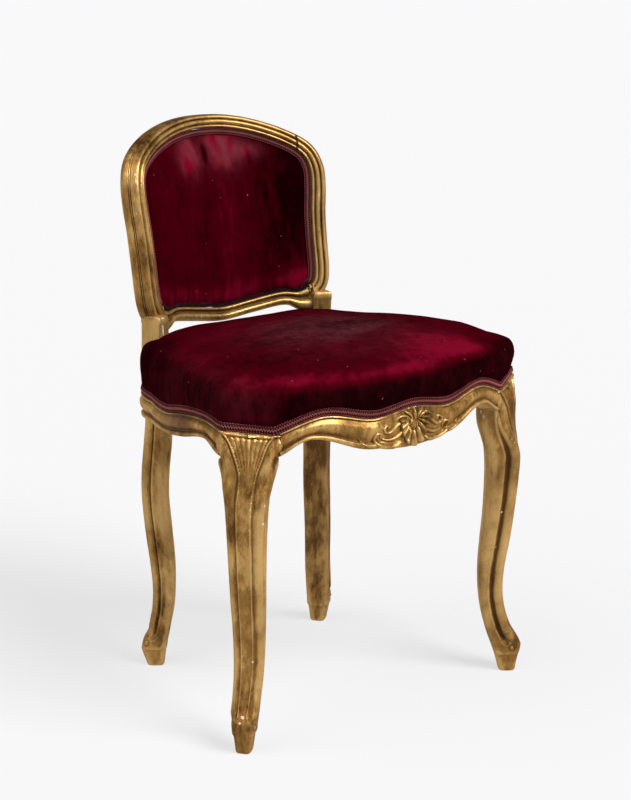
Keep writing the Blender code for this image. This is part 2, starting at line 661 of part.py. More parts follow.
def make_seat_upholstery():
    outline = seat_outline()
    skirt = REBATE - SKIRT_CLEAR
    behind_gimp = GIMP_THICK + GAP

    def under(y, line):
        return max(seat_top(y), line) + 2 * GAP

    def over(level):
        return lambda y, line: line + level

    def crown(part):
        return lambda y, line: shoulder(y) + (SEAT_CROWN - shoulder(y)) * part

    pad = [seat_ring(outline, -skirt, under, 0.5), seat_ring(outline, -skirt, under),
           seat_ring(outline, -skirt, over(SKIRT_CLEAR)),
           seat_ring(outline, -behind_gimp, over(SKIRT_CLEAR)),
           seat_ring(outline, -behind_gimp, over(GIMP_HIGH + 2 * GAP)),
           seat_ring(outline, 0.0010, over(GIMP_HIGH + 0.0020)),
           seat_ring(outline, SEAT_BULGE, over(0.0280)),
           seat_ring(outline, 0.0, crown(0.0)), seat_ring(outline, -0.002, crown(0.30), 0.95),
           seat_ring(outline, -0.002, crown(0.60), 0.82), seat_ring(outline, -0.002, crown(0.92), 0.45)]
    add_object("seat_pad", loft(pad, domed=True), VELVET)
    gimp = [seat_ring(outline, -GIMP_THICK, over(SKIRT_CLEAR)), seat_ring(outline, 0.0, over(SKIRT_CLEAR)),
            seat_ring(outline, 0.0, over(GIMP_HIGH)), seat_ring(outline, -GIMP_THICK, over(GIMP_HIGH))]
    add_object("seat_gimp", loft(gimp, loop=True), BRAID)


def make_bottom_cloth():
    """Hessian under the frame, inside the rails."""
    thick = 0.0020
    clear = RAIL_THICK + 2 * GAP
    half = [(x, front_y(x) + clear + more) for x, more in ((0.0, 0.0), (0.06, 0.0), (0.12, 0.002))]
    half += [(0.172, 0.014), (0.188, 0.050), (side_x(0.06) - clear - 0.001, 0.060)]
    half += [(side_x(y) - clear - 0.002, y) for y in (0.11, 0.16, 0.21, 0.25)]
    half += [(0.106, 0.296), (0.0, BACK_RAIL_FRONT - GAP)]
    outline = half + [(-x, y) for x, y in half[-2:0:-1]]
    rings = [[(x, y, CLOTH_Z - SEAT_SLOPE * y + up) for x, y in outline] for up in (0.0, thick)]
    add_object("seat_bottom_cloth", loft(rings), HESSIAN)


def main():
    clear_scene()
    make_front_legs()
    make_back_legs()
    make_front_rail()
    make_side_rails()
    make_back_rail()
    make_crest_rail()
    make_lower_rail()
    make_back_upholstery()
    make_seat_upholstery()
    make_bottom_cloth()


main()
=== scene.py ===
"""Looks of the giltwood side chair: worn gilding, crimson velvet, gimp braid and hessian on the CAD frame.

Metres, +Z up. Shapes are worked out from the middle of the front feet, and build() moves them into
the frame, whose origin is under the middle of the chair.
"""
import math

import bmesh
import bpy
import numpy as np
from mathutils import Matrix, noise


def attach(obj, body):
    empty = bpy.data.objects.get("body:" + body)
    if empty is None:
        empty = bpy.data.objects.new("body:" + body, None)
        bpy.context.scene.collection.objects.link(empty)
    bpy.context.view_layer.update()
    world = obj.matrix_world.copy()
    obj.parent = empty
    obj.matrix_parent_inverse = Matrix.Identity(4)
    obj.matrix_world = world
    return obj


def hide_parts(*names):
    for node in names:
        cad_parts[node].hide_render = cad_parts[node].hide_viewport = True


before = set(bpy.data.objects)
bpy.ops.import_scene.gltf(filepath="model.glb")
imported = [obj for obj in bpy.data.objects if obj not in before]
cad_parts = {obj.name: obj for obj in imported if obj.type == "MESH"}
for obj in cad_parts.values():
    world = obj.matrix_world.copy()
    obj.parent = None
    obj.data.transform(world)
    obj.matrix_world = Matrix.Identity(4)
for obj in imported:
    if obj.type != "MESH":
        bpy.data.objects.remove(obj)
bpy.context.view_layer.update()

MM = 0.001
ORIGIN_Y = 0.17556            # from the front feet to the middle of the chair's depth


def mm(*rows):
    """Rows of places or sizes given in millimetres, as metres."""
    return np.round(np.array(rows, float) * MM, 7)


# ---------------------------------------------------------------- sizes of the CAD frame
# A line across the front is rows of x and height, one along the side is rows of y and height
FRONT_CENTRE_Y = -0.052
FRONT_BOW = 1.154
KNEE_A = np.array((0.187, -0.0117))
KNEE_B = np.array((0.241, 0.0215))
KNEE_BY_SIDE_RAIL = ((0.2115, 0.0335), (0.2050, 0.0410))    # points round the knee's inner side
KNEE_BY_FRONT_RAIL = ((0.1830, 0.0225), (0.1900, 0.0365))
KNEE_INSIDE = (0.1975, 0.0425)
SIDE_BACK = (0.158, 0.300)
SIDE_BOW = 0.012
FRONT_RAIL_END = 0.180
SIDE_RAIL_START = 0.0270
SIDE_RAIL_END = 0.272
RAIL_THICK = 0.024
RAIL_UNDER = 0.006            # flat width under the moulded face before the rail's inner side
REBATE = 0.007
RETURN_THICK = 0.0085         # of the rail's moulding where it passes over the back leg
BACK_RAIL = (0.3000, 0.3220, 0.3540, 0.3885)    # its front, back, underside and top
BACK_RAIL_END = 0.122
SEAT_SLOPE = 0.08
SEAT_TOP_FRONT = 0.4225
FRONT_LINE = mm((0, 416), (60, 408.5), (128, 419), (187, 400))
FRONT_LOWER = mm((0, 370), (66, 371), (142, 391), (180, 373))
SIDE_LINE = mm((21.5, 408), (63, 411.5), (125, 404), (200, 388), (300, 382))
SIDE_LOWER = mm((27, 375), (66, 387), (140, 371), (200, 360), (300, 352))
FRONT_FOOT = np.array((0.2226, -0.0008))
BACK_FOOT = np.array((0.1432, 0.3067))
FRONT_LEG_TURN = math.radians(-36.0)    # the way a leg bows, from straight out to the side
BACK_LEG_TURN = math.radians(38.0)
BACK_SWAY = 0.005
SWAY_LEVELS = (0.120, 0.240)
POST_TOP = 0.3956
POST_CUT = (0.3530, 0.3560)
POST_CORNER = np.array((0.130, 0.3225))
POST_SHARE = 0.66             # of the leg's thickness left in the post
BACK_Y = 0.3524
BACK_Z = 0.520
BACK_RAKE = math.tan(math.radians(10.05))
BACK_CURVE = 2.236
SIGHT = mm((0, 474.5), (45, 480), (88, 487), (113, 486.5), (129, 497), (134.5, 515), (135.5, 560),
           (137, 595), (140.5, 630), (140.5, 656), (131.5, 676.5), (106, 693), (69, 706.5), (33, 713.5),
           (0, 715.2))
FRAME_WIDTHS = (0.95, 0.83)    # of the frame's section, in the stiles and at the top of the crest
NARROWING = (0.620, 0.695)    # heights between which it narrows
STILE_FOOT_Z = 0.4880
CREST_JOINT_X = 0.128
BLOCK = mm((123.5, 289), (144, 289), (153, 320), (127, 323))
BLOCK_TOP = mm((124, 297.5), (146, 287), (153, 318), (129, 325))
BLOCK_ROUND = 0.0012
BLOCK_TURN = (0.405, 0.480)   # heights between which it turns
# Heights of its sections, and how far each stands proud of the sides
BLOCK_LEVELS = mm((385, 0), (420, 0), (450, 0), (475.5, 0), (477, 0.6), (479, 0.8), (483, 0.6),
                  (485.6, -0.2), (487.2, -1.4), (488, -3.4))
LOWER_RAIL_END = 0.1231
GIMP_HIGH = 0.0100
BACK_GIMP = 0.0085
GIMP_PITCH = 0.0100           # along the gimp, for one turn of its plait
SEAT_CROWN = 0.4845
CLOTH_Z = 0.3972

# Height, shift of the middle along the leg's bow, half width across it, half depth along it
FRONT_LEG = mm((0, 1.6, 8.5, 9.8), (1.2, 1.6, 9.4, 11), (4, 1.5, 10, 12), (10, 1.2, 10.6, 13.1),
               (24, 0.6, 12.4, 16.6), (25.5, 0.5, 13.8, 17.2), (33, 0.2, 14.2, 19.4),
               (40, -1, 14.6, 20.9), (47.5, -4.5, 14.8, 20.2), (56, -8.8, 15, 19),
               (67, -13.3, 15.3, 17.7), (88, -19.7, 15.9, 16.7), (115, -23.8, 16.7, 16.5),
               (150, -23.8, 17.7, 17.8), (185, -20.1, 19, 19.5), (220, -16.6, 19.8, 20.4),
               (260, -13.9, 21, 21.6), (300, -13.1, 22.8, 23.2), (330, -15.5, 24.9, 24.7),
               (350, -20.3, 26.8, 26.8), (373.5, -24.6, 28.8, 27.5))
BACK_LEG = mm((0, 0, 9.5, 10.3), (1.2, 0.2, 10.5, 11.6), (4, 0.4, 11.2, 12.5), (10, 1.1, 12, 13.8),
              (24, 2.6, 14.6, 17.2), (25.5, 2.2, 15.8, 17.6), (36, 0.2, 16, 16.9),
              (48, -4.2, 16.1, 15.1), (64, -7.3, 16.3, 14.9), (85, -11, 16.5, 15.1),
              (115, -12.4, 16.7, 15.6), (150, -10.3, 17, 17.1), (190, -5.8, 17.2, 18),
              (235, -1.4, 17.3, 18.3), (270, -1.6, 17.5, 18.8), (315, -5.4, 17.7, 19), (350, -7, 18, 18),
              (395.6, -7, 18, 18))

# ---------------------------------------------------------------- sizes of the carving
# Half of a leg's outline, from the middle of its outer face round to the middle of its inner one
LEG_OUTLINE = ((0.0, 0.965), (0.14, 0.965), (0.28, 0.965), (0.55, 0.95), (0.80, 0.85), (0.95, 0.62),
               (1.0, 0.32), (1.0, 0.0), (0.99, -0.35), (0.92, -0.68), (0.70, -0.92), (0.35, -1.0),
               (0.0, -1.0))
OUTLINE_POINTS = (8, 8, 10, 12, 6, 6, 8, 5, 4, 4, 3, 3)
GROOVE_KEY, SIDE_KEY = 6, 7   # the outline's keys at the side groove and in the middle of the side
KNEE_FACE = np.array((0.0, 0.25, 0.50, 0.75, 0.93))    # keys over half of the knee's face, as shares of it
KNEE_FINE_Z = 0.318           # the rings are closer together from here
KNEE_RINGS = 42               # from the knee's top up to the moulding's line
GROOVE_TURN = (0.330, 0.372)  # heights between which the side groove turns out to the rail's joint
RAIL_BLEND = (0.338, 0.378)   # and between which the leg's mouldings become the rail's
FLUTES_FROM = (0.322, 0.352)  # and between which the fan's flutes rise
KNEE_TOP_Z = 0.3735           # above this the leg's rings climb to the moulding's line
KNEE_BLEND = (0.305, 0.3735)
KNEE_BULGE = mm((0, 1), (4, 3.4), (17.5, 7.5), (30, 10))
# Height and half width of the knee's fan, which narrows into the band down the leg
FAN = ((0.0, 5.2), (0.045, 5.4), (0.060, 5.8), (0.110, 6.9), (0.180, 7.5), (0.260, 8.0), (0.320, 8.3),
       (0.348, 8.6), (0.359, 10.4), (0.376, 16.3), (0.390, 23.0), (0.4000, 31.0))
FLUTES = 7
CURL_Z = 0.0345               # of the small curls over the toe
CURL_INSET = 6.5 * MM
CURL_RADIUS = 3.0 * MM
COLLAR_Z = 0.0440             # bottom of the groove in the leg's side
BACK_BAND = 0.0062            # half width of the hollow band down a back leg
CARVED_FROM = (0.0430, 0.0520)    # heights between which a leg's mouldings begin
# Share of the way from the fan's edge to the groove in the leg's side, and height in mm
LEG_MOULD = ((0.0, 0.3), (0.05, -0.7), (0.11, -1.6), (0.17, -1.1), (0.28, 0.8), (0.42, 2.1), (0.58, 2.5),
             (0.72, 2.0), (0.82, 0.7), (0.89, -1.1), (0.95, -2.7), (1.0, -3.3))
# Height of the groove in the leg's side over its middle: z and distance in mm
SIDE_GROOVE = ((0.0, 0.0), (0.100, 0.2), (0.180, 2.4), (0.230, 3.4), (0.330, 6.0), (0.400, 6.4))
# Share of the way from the rail's top line to its lower edge, and height in mm
RAIL_MOULD = ((0.0, 0.3), (0.08, -0.6), (0.16, 0.4), (0.28, 2.6), (0.38, 3.3), (0.48, 2.8), (0.60, 0.6),
              (0.69, -1.5), (0.745, -2.1), (0.775, -1.4), (0.81, 0.6), (0.87, 1.6), (0.93, 1.3),
              (0.975, -0.2), (1.0, -2.2))
# Distance outside the sight line, and height over the back's surface, in mm
STILE_MOULD = ((0.0, 1.0), (0.4, 2.9), (1.2, 4.4), (2.3, 5.2), (3.5, 4.9), (4.5, 3.8), (5.2, 2.9),
               (5.7, 2.9), (6.3, 3.7), (7.0, 5.0), (8.4, 6.1), (10.0, 6.5), (11.4, 6.0), (12.5, 4.7),
               (13.2, 3.0), (13.8, 1.5), (14.3, 1.2), (14.9, 1.8), (15.7, 2.9), (17.0, 3.5), (18.6, 3.1),
               (20.2, 1.4), (21.4, -1.0), (22.1, -3.6), (22.4, -5.8), (22.0, -6.7), (20.9, -7.4),
               (22.0, -8.1), (22.2, -8.7), (22.0, -9.3), (20.9, -10.0), (22.1, -10.7), (22.9, -12.6),
               (22.9, -15.5), (22.2, -18.9), (20.6, -21.2), (17.5, -22.0), (10.0, -22.0), (3.0, -22.0),
               (0.6, -21.4), (0.0, -19.5), (0.0, -9.0))
# Heights between which the outer side of the stiles has its two quirks, and its distance outside without them
QUIRKS = (-11.0, -5.5)
PLAIN_SIDE = 22.3
LOWER_MOULD = ((0.0, 1.0), (0.3, 2.9), (1.2, 4.2), (2.3, 4.2), (3.2, 3.0), (3.9, 1.2), (4.8, 0.3),
               (5.8, 0.4), (6.8, 1.4), (8.4, 4.0), (10.2, 5.1), (12.2, 4.6), (14.4, 2.6), (15.9, -0.6),
               (16.6, -4.5), (16.4, -10.0), (15.6, -15.0), (12.5, -18.0), (2.0, -18.0), (0.0, -16.0),
               (0.0, -7.0))


# ---------------------------------------------------------------- sizes of the wear
RELIEF_FULL = 0.7 * MM        # standing this far over its surroundings, a point is fully worn
CARVED_FINE = 0.10 * MM       # the carver's unevenness, from one tool mark to the next
CARVED_BROAD = 0.22 * MM      # and from one stretch of the wood to the next
CHIP_DEPTH = 0.45 * MM
OCTAVE_SHIFT = 7.31           # keeps the finer noise from repeating the broad one


# ---------------------------------------------------------------- helpers
def curve(table, where):
    """Smooth values through a table of (place, value, ...) rows at an array of places."""
    table = np.array(table, float)
    x, v = table[:, 0], table[:, 1:]
    index = np.arange(len(x))
    low, high = np.maximum(index - 1, 0), np.minimum(index + 1, len(x) - 1)
    slope = (v[high] - v[low]) / (x[high] - x[low])[:, None]
    slope[0] = 0.0
    where = np.clip(np.asarray(where, float), x[0], x[-1])
    i = np.clip(np.searchsorted(x, where, side="right") - 1, 0, len(x) - 2)
    span = (x[i + 1] - x[i])[..., None]
    q = (where - x[i])[..., None] / span
    result = ((1 + 2 * q) * (1 - q) ** 2 * v[i] + q * (1 - q) ** 2 * span * slope[i]
              + q * q * (3 - 2 * q) * v[i + 1] + q * q * (q - 1) * span * slope[i + 1])
    return result[..., 0] if result.shape[-1] == 1 else result


def unit(vectors):
    return vectors / np.linalg.norm(vectors, axis=-1, keepdims=True)


def steps_round(path):
    """The way that a closed path runs at each of its points."""
    return np.roll(path, -1, axis=0) - np.roll(path, 1, axis=0)


def both_sides(half):
    """A closed outline from its right half, which starts and ends on the middle line."""
    left = half[-2:0:-1].copy()
    left[:, 0] *= -1.0
    return np.concatenate((half, left))


def smoothstep(low, high, x):
    q = np.clip((np.asarray(x, float) - low) / (high - low), 0.0, 1.0)
    return q * q * (3 - 2 * q)


def bump(x, middle, width):
    """A smooth ridge of height 1 at the middle."""
    return np.exp(-((x - middle) / width) ** 2)


def catmull(p0, p1, p2, p3, q):
    return 0.5 * (2 * p1 + (p2 - p0) * q + (2 * p0 - 5 * p1 + 4 * p2 - p3) * q ** 2
                  + (3 * p1 - p0 - 3 * p2 + p3) * q ** 3)


def closed_outlines(keys, counts):
    """Rows of closed smooth outlines through rows of key points, with so many points on each stretch."""
    keys = np.asarray(keys, float)
    parts = []
    for k, count in enumerate(counts):
        q = (np.arange(count) / count)[None, :, None]
        around = [np.roll(keys, 1 - k - step, axis=1)[:, :1] for step in range(4)]
        parts.append(catmull(*around, q))
    return np.concatenate(parts, axis=1)


def evenly(points, step, closed=False):
    """Evenly spaced points on a smooth line through the given ones."""
    points = np.asarray(points, float)
    if closed:
        padded = np.concatenate((points[-1:], points, points[:2]))
    else:
        padded = np.concatenate((points[:1], points, points[-1:]))
    q = (np.arange(12) / 12)[:, None]
    fine = [catmull(*padded[k:k + 4], q) for k in range(len(padded) - 3)]
    fine = np.concatenate(fine + [padded[-2:-1]])
    length = np.concatenate(([0.0], np.cumsum(np.linalg.norm(np.diff(fine, axis=0), axis=1))))
    count = max(int(round(length[-1] / step)), 2)
    if closed:
        count += count % 2
    where = np.linspace(0.0, length[-1], count + 1)
    if closed:
        where = where[:-1]
    return np.stack([np.interp(where, length, column) for column in fine.T], axis=1)


def line_distance(points, line):
    """Distance of each point from a polyline, and how far along it the nearest place is, from 0 to 1."""
    points, line = np.asarray(points, float), np.asarray(line, float)
    starts, runs = line[:-1], np.diff(line, axis=0)
    squared = np.maximum((runs ** 2).sum(axis=1), 1e-18)
    best, along = np.full(len(points), np.inf), np.zeros(len(points))
    for i, (start, run, size) in enumerate(zip(starts, runs, squared)):
        q = np.clip(((points - start) @ run) / size, 0.0, 1.0)
        d = np.linalg.norm(points - start - q[:, None] * run, axis=1)
        nearer = d < best
        best = np.where(nearer, d, best)
        along = np.where(nearer, (i + q) / len(runs), along)
    return best, along


def noise_at(points, scale, seed=0.0, octaves=1, stretch=(1.0, 1.0, 1.0)):
    """Smooth noise from about -1 to 1 at each point; a stretch under 1 draws it out along that axis."""
    total, size = np.zeros(len(points)), 1.0
    for octave in range(octaves):
        where = (points * np.array(stretch) * (scale * 2 ** octave) + seed + OCTAVE_SHIFT * octave).tolist()
        total += size * np.array([noise.noise(p) for p in where])
        size *= 0.5
    return total


def quads(rows, columns, loop=False, closed=True):
    """Faces between rows of points, closed round each row unless said otherwise."""
    i = np.arange(rows if loop else rows - 1)[:, None]
    j = np.arange(columns if closed else columns - 1)[None, :]
    up, right = (i + 1) % rows, (j + 1) % columns
    faces = np.stack((i * columns + j, i * columns + right, up * columns + right, up * columns + j), axis=-1)
    return faces.reshape(-1, 4).tolist()


def loft(rings, loop=False, caps=True):
    """Points and faces of a closed body through equal rings."""
    rings = np.asarray(rings, float)
    rows, columns = rings.shape[:2]
    faces = quads(rows, columns, loop)
    if caps and not loop:
        faces.append(list(range(columns)))
        faces.append(list(range((rows - 1) * columns, rows * columns)))
    return rings.reshape(-1, 3), faces


def joined(*bodies):
    points, faces, start = [], [], 0
    for body_points, body_faces in bodies:
        points.append(body_points)
        faces += [[i + start for i in face] for face in body_faces]
        start += len(body_points)
    return np.concatenate(points), faces


def flipped(body):
    """The same body on the other side of the chair."""
    points, faces = body
    return points * np.array((-1.0, 1.0, 1.0)), faces


def build(name, body, material, sharp=None):
    """An object from points and faces, with its faces turned outwards."""
    points, faces = body
    mesh = bpy.data.meshes.new(name)
    mesh.from_pydata((points - np.array((0.0, ORIGIN_Y, 0.0))).tolist(), [], faces)
    builder = bmesh.new()
    builder.from_mesh(mesh)
    bmesh.ops.recalc_face_normals(builder, faces=builder.faces)
    builder.to_mesh(mesh)
    builder.free()
    mesh.shade_smooth()
    if sharp:
        mesh.set_sharp_from_angle(angle=math.radians(sharp))
    mesh.materials.append(material)
    item = bpy.data.objects.new(name, mesh)
    bpy.context.collection.objects.link(item)
    return item


def finish_piece(item, slot, *nodes):
    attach(item, "root")
    if nodes:
        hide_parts(*nodes)
    return item


def move_points(mesh, points):
    mesh.vertices.foreach_set("co", points.ravel())
    mesh.update()


def coordinates(mesh):
    points = np.zeros(len(mesh.vertices) * 3)
    mesh.vertices.foreach_get("co", points)
    return points.reshape(-1, 3)


def vertex_normals(mesh):
    normals = np.zeros(len(mesh.vertices) * 3)
    mesh.vertices.foreach_get("normal", normals)
    return normals.reshape(-1, 3)


def edge_ends(mesh):
    ends = np.zeros(len(mesh.edges) * 2, int)
    mesh.edges.foreach_get("vertices", ends)
    return ends.reshape(-1, 2)


def set_values(mesh, name, values):
    attribute = mesh.attributes.get(name) or mesh.attributes.new(name, "FLOAT", "POINT")
    attribute.data.foreach_set("value", np.asarray(values, np.float32))


def smoothed(points, ends, rounds):
    """Points drawn towards their neighbours, the nearest ones most."""
    a, b = ends.T
    weight = 1.0 / np.maximum(((points[a] - points[b]) ** 2).sum(axis=1), 1e-10)
    total = np.bincount(a, weight, len(points)) + np.bincount(b, weight, len(points))
    moved = points.copy()
    for _ in range(rounds):
        pulled = np.empty_like(moved)
        for axis in range(3):
            column = moved[:, axis]
            pulled[:, axis] = (np.bincount(a, weight * column[b], len(points))
                               + np.bincount(b, weight * column[a], len(points))) / total
        moved = 0.5 * (moved + pulled)
    return moved


def mark_relief(item, flush=0, cracked=slice(0)):
    """Record how far each point stands over or under its surroundings, from -1 in a groove to 1 on an edge.
    The last section, of flush points, is marked as the one before it, and an open joint as a deep groove."""
    mesh = item.data
    points = coordinates(mesh)
    over = ((points - smoothed(points, edge_ends(mesh), 40)) * vertex_normals(mesh)).sum(axis=1)
    if flush:
        over[-flush:] = over[-2 * flush:-flush] = over[-3 * flush:-2 * flush]
    over[cracked] = -RELIEF_FULL
    set_values(mesh, "relief", np.clip(over / RELIEF_FULL, -1.0, 1.0))


def chips_at(points, chips, seed):
    """How fully each point lies in a chip: 1 inside, with a ragged edge."""
    chipped = np.zeros(len(points))
    for x, y, z, radius in chips:
        centre = np.array((x, y - ORIGIN_Y, z))
        centre = points[np.argmin(((points - centre) ** 2).sum(axis=1))]
        d = np.linalg.norm(points - centre, axis=1)
        near = d < 2.2 * radius
        ragged = d[near] / radius + 0.55 * noise_at(points[near], 1.1 / radius, seed + 5.0, 2)
        chipped[near] = np.maximum(chipped[near], 1.0 - smoothstep(0.75, 1.0, ragged))
    return chipped


def stain_and_shading_at(points):
    """How far each point is darkened, or below nought made paler: real stains and rubbing from smoke and
    hands, mixed with painted shade and painted light.
    """
    stain_and_shading = np.zeros(len(points))
    for *place, radius, strength in STAINS_AND_SHADING:
        d = np.linalg.norm(points - np.array(place) * MM + np.array((0.0, ORIGIN_Y, 0.0)), axis=1)
        if d.min() < radius * MM:
            ragged = d / (radius * MM) + 0.15 * noise_at(points, 40.0, 7.0, 2)
            stain_and_shading += strength * (1.0 - smoothstep(0.2, 1.0, ragged))
    return stain_and_shading


def weather(item, chips, seed):
    """The carver's unevenness all over, chips in the gesso, and brown stains mixed with painted shade and
    painted light.
    """
    mesh = item.data
    points, normals = coordinates(mesh), vertex_normals(mesh)
    uneven = CARVED_FINE * noise_at(points, 90.0, seed, 2) + CARVED_BROAD * noise_at(points, 22.0, seed + 3.0)
    chipped = chips_at(points, chips, seed)
    set_values(mesh, "chipped", chipped)
    # Stains and rubbing, mixed with painted shade and painted light, as one value for the gilt's colour
    set_values(mesh, "stain_and_shading", stain_and_shading_at(points))
    move_points(mesh, points + normals * (uneven - CHIP_DEPTH * chipped)[:, None])


# ---------------------------------------------------------------- the seat's plan
def front_y(x):
    return FRONT_CENTRE_Y + FRONT_BOW * x * x


def side_x(y):
    q = (y - KNEE_B[1]) / (SIDE_BACK[1] - KNEE_B[1])
    return KNEE_B[0] + (SIDE_BACK[0] - KNEE_B[0]) * q + SIDE_BOW * 4 * q * (1 - q)


def seat_top(y):
    return SEAT_TOP_FRONT - SEAT_SLOPE * (y - FRONT_CENTRE_Y)


def knee_axes():
    """Middle of the canted corner, its direction to the side and its outward direction."""
    along = unit(KNEE_B - KNEE_A)
    return (KNEE_A + KNEE_B) / 2, along, np.array((along[1], -along[0]))


def knee_line(where):
    return FRONT_LINE[-1][1] + (SIDE_LINE[0][1] - FRONT_LINE[-1][1]) * np.clip(where, 0.0, 1.0)


def front_places(x):
    slope = 2 * FRONT_BOW * x
    size = np.hypot(slope, 1.0)
    outward = np.stack((slope / size, -1.0 / size), axis=-1)
    return np.stack((x, front_y(x)), axis=-1), outward


def side_places(y):
    step = 0.001
    slope = (side_x(y + step) - side_x(y - step)) / (2 * step)
    size = np.hypot(slope, 1.0)
    outward = np.stack((1.0 / size, -slope / size), axis=-1)
    return np.stack((side_x(y), y), axis=-1), outward


# ---------------------------------------------------------------- rails
def lip(under):
    """The thin bead along the top of the rails and down the knees, and the quirk inside it, in mm."""
    under = under / MM
    return 1.7 * bump(under, 1.4, 1.15) - 0.4 * bump(under, 3.7, 0.9)


def rail_rings(places, outward, line, lower, relief=None, thick=RAIL_THICK):
    """Sections of a rail: the moulded face from its top line down, then under, up behind and over."""
    share = np.linspace(0.0, 1.0, 61)
    z = line[:, None] - share * (line - lower)[:, None]
    out = (lip(line[:, None] - z) + curve(RAIL_MOULD, share)) * MM
    if relief is not None:
        out = relief(places[:, 0][:, None] + 0 * z, z, out)
    inner, rebate = (seat_top(places[:, 1] - outward[:, 1] * d) for d in (thick, REBATE))
    behind = ((lower, -RAIL_UNDER), (lower, -thick), (inner, -thick), (rebate, -REBATE), (line, -REBATE))
    z = np.concatenate([z] + [column[:, None] for column, _ in behind], axis=1)
    out = np.concatenate([out] + [np.full((len(line), 1), d) for _, d in behind], axis=1)
    flat = places[:, None, :] + outward[:, None, :] * out[:, :, None]
    return np.concatenate((flat, z[:, :, None]), axis=2)


def stroke(x, z, path, widths, height):
    """A raised leaf or scroll along a path, rounded across and tapered to its end, in mm."""
    line = evenly(np.array(path) * MM, STROKE_STEP)
    near = (np.abs(x - line[:, 0].mean()) < STROKE_REACH).ravel()
    d, along = np.full(x.size, 1.0), np.zeros(x.size)
    d[near], along[near] = line_distance(np.stack((x.ravel()[near], z.ravel()[near]), axis=1), line)
    width = np.interp(along, np.linspace(0.0, 1.0, len(widths)), widths) * MM
    across = np.clip(1.0 - (d / width) ** 2, 0.0, 1.0)
    rise = np.sin(np.pi * np.clip(along * 0.94 + 0.06, 0.0, 1.0)) ** 0.35
    return (height * np.sqrt(across) * np.maximum(rise, 0.45) * (across > 0)).reshape(x.shape)


SHELL_MIDDLE_Z = 0.4030
SHELL_REACH = (0.0235, 0.0385)    # of the lobes, to the side and downwards
SHELL_SPREAD = math.radians(190.0)
SHELL_LOBES = 9
STROKE_STEP = 1.2 * MM
STROKE_REACH = 0.05           # no leaf is longer than this to either side of its middle
# For each leaf or scroll: its path of x and z, half widths along it, and height, all in mm
SHELL_STROKES = (
    (((21, 373.5), (31, 369), (43, 370), (53, 374.5), (60, 381.5), (58.5, 388.5), (52, 388.5), (51, 383.5)),
     (2.0, 3.0, 3.4, 3.0, 2.4, 2.0, 1.8, 1.7), 3.6),
    (((19, 385), (29, 380), (40, 379), (48, 381)), (2.4, 2.6, 2.0, 1.0), 3.0),
    (((17, 398.5), (27, 396), (37, 389), (44, 389), (47, 394), (42.5, 397.5), (39.5, 394.5)),
     (2.2, 2.6, 2.4, 2.2, 1.8, 1.6, 1.5), 3.2),
    (((56, 374.5), (67, 375.5), (76, 379.5), (82, 386)), (2.4, 2.4, 1.7, 0.8), 2.2),
    (((6, 400), (14, 405.5), (23, 406), (29, 402)), (1.2, 2.2, 2.2, 0.9), 3.2),
    (((3, 401), (8, 407.5), (14, 411)), (1.2, 2.2, 1.2), 3.8),
    (((0, 400), (0, 407), (0, 413.5)), (1.6, 2.8, 1.4), 4.6),
)


def shell_relief(x, z, out):
    """The carved shell in the middle of the front rail, with a leafy scroll at each side."""
    side, up = np.abs(x), z - SHELL_MIDDLE_Z
    radius = np.hypot(side, up)
    angle = np.arctan2(side, -up)
    reach = 1.0 / np.sqrt((np.sin(angle) / SHELL_REACH[0]) ** 2 + (np.cos(angle) / SHELL_REACH[1]) ** 2)
    lobes = np.abs(np.cos(angle * SHELL_LOBES * math.pi / SHELL_SPREAD))
    edge = reach * (0.88 + 0.12 * lobes)
    inside = 1.0 - smoothstep(0.955, 1.0, radius / edge)
    share = np.clip(radius / reach, 0.0, 1.0)
    fan = inside * (1.2 + 5.0 * share ** 0.7 * (0.12 + 0.88 * lobes ** 1.3) - 2.4 * bump(share, 0.42, 0.07))
    fan *= 1.0 - smoothstep(math.radians(84), math.radians(100), angle)
    raised = fan
    for path, widths, height in SHELL_STROKES:
        raised = np.maximum(raised, stroke(side, z, path, widths, height))
    ground = 1.0 - 0.75 * smoothstep(0.062, 0.040, side)
    return np.where(raised > 0.05, out * ground + raised * MM, out * ground)


def front_rail():
    fine = np.linspace(0.0, 0.088, 176)
    plain = np.linspace(0.0905, FRONT_RAIL_END, 42)
    x = np.concatenate((-plain[::-1], -fine[:0:-1], fine, plain))
    places, outward = front_places(x)
    side = np.abs(x)
    # The lower edge hangs down at the shell, and is a little uneven elsewhere
    drop = 0.0045 * np.cos(0.5 * np.pi * np.clip(side / 0.050, 0.0, 1.0)) + 0.0013 * bump(x, -0.085, 0.035)
    drop -= 0.0034 * bump(x, 0.118, 0.026) + 0.0012 * bump(x, 0.036, 0.022)
    line, lower = curve(FRONT_LINE, side), curve(FRONT_LOWER, side) - drop
    return loft(rail_rings(places, outward, line, lower, shell_relief))


def side_rail():
    y = np.linspace(SIDE_RAIL_START, SIDE_RAIL_END, 100)
    places, outward = side_places(y)
    return loft(rail_rings(places, outward, curve(SIDE_LINE, y), curve(SIDE_LOWER, y)))


def rail_return():
    """The side rail's moulding carried over the top of the back leg and round its corner."""
    path = evenly(SEAT_BACK_KEYS[:4], 0.0012)[1:]
    run = np.gradient(path[:, :2], axis=0)
    outward = np.stack((run[:, 1], -run[:, 0]), axis=1) / np.linalg.norm(run, axis=1, keepdims=True)
    lower = curve(SIDE_LOWER, path[:, 1])
    return loft(rail_rings(path[:, :2], outward, path[:, 2], lower, thick=RETURN_THICK))


def back_rail():
    """The plain rail behind the seat, with small rounds on its outer edges."""
    front, back, low, top = BACK_RAIL
    far, near = 2.0 * MM, 0.6 * MM
    section = ((front, low), (back - far, low), (back - near, low + near), (back, low + far),
               (back, top - far), (back - near, top - near), (back - far, top), (back - REBATE, top),
               (back - REBATE, seat_top(back)), (front, seat_top(front)))
    return loft([[(x, y, z) for y, z in section] for x in np.linspace(-BACK_RAIL_END, BACK_RAIL_END, 80)])


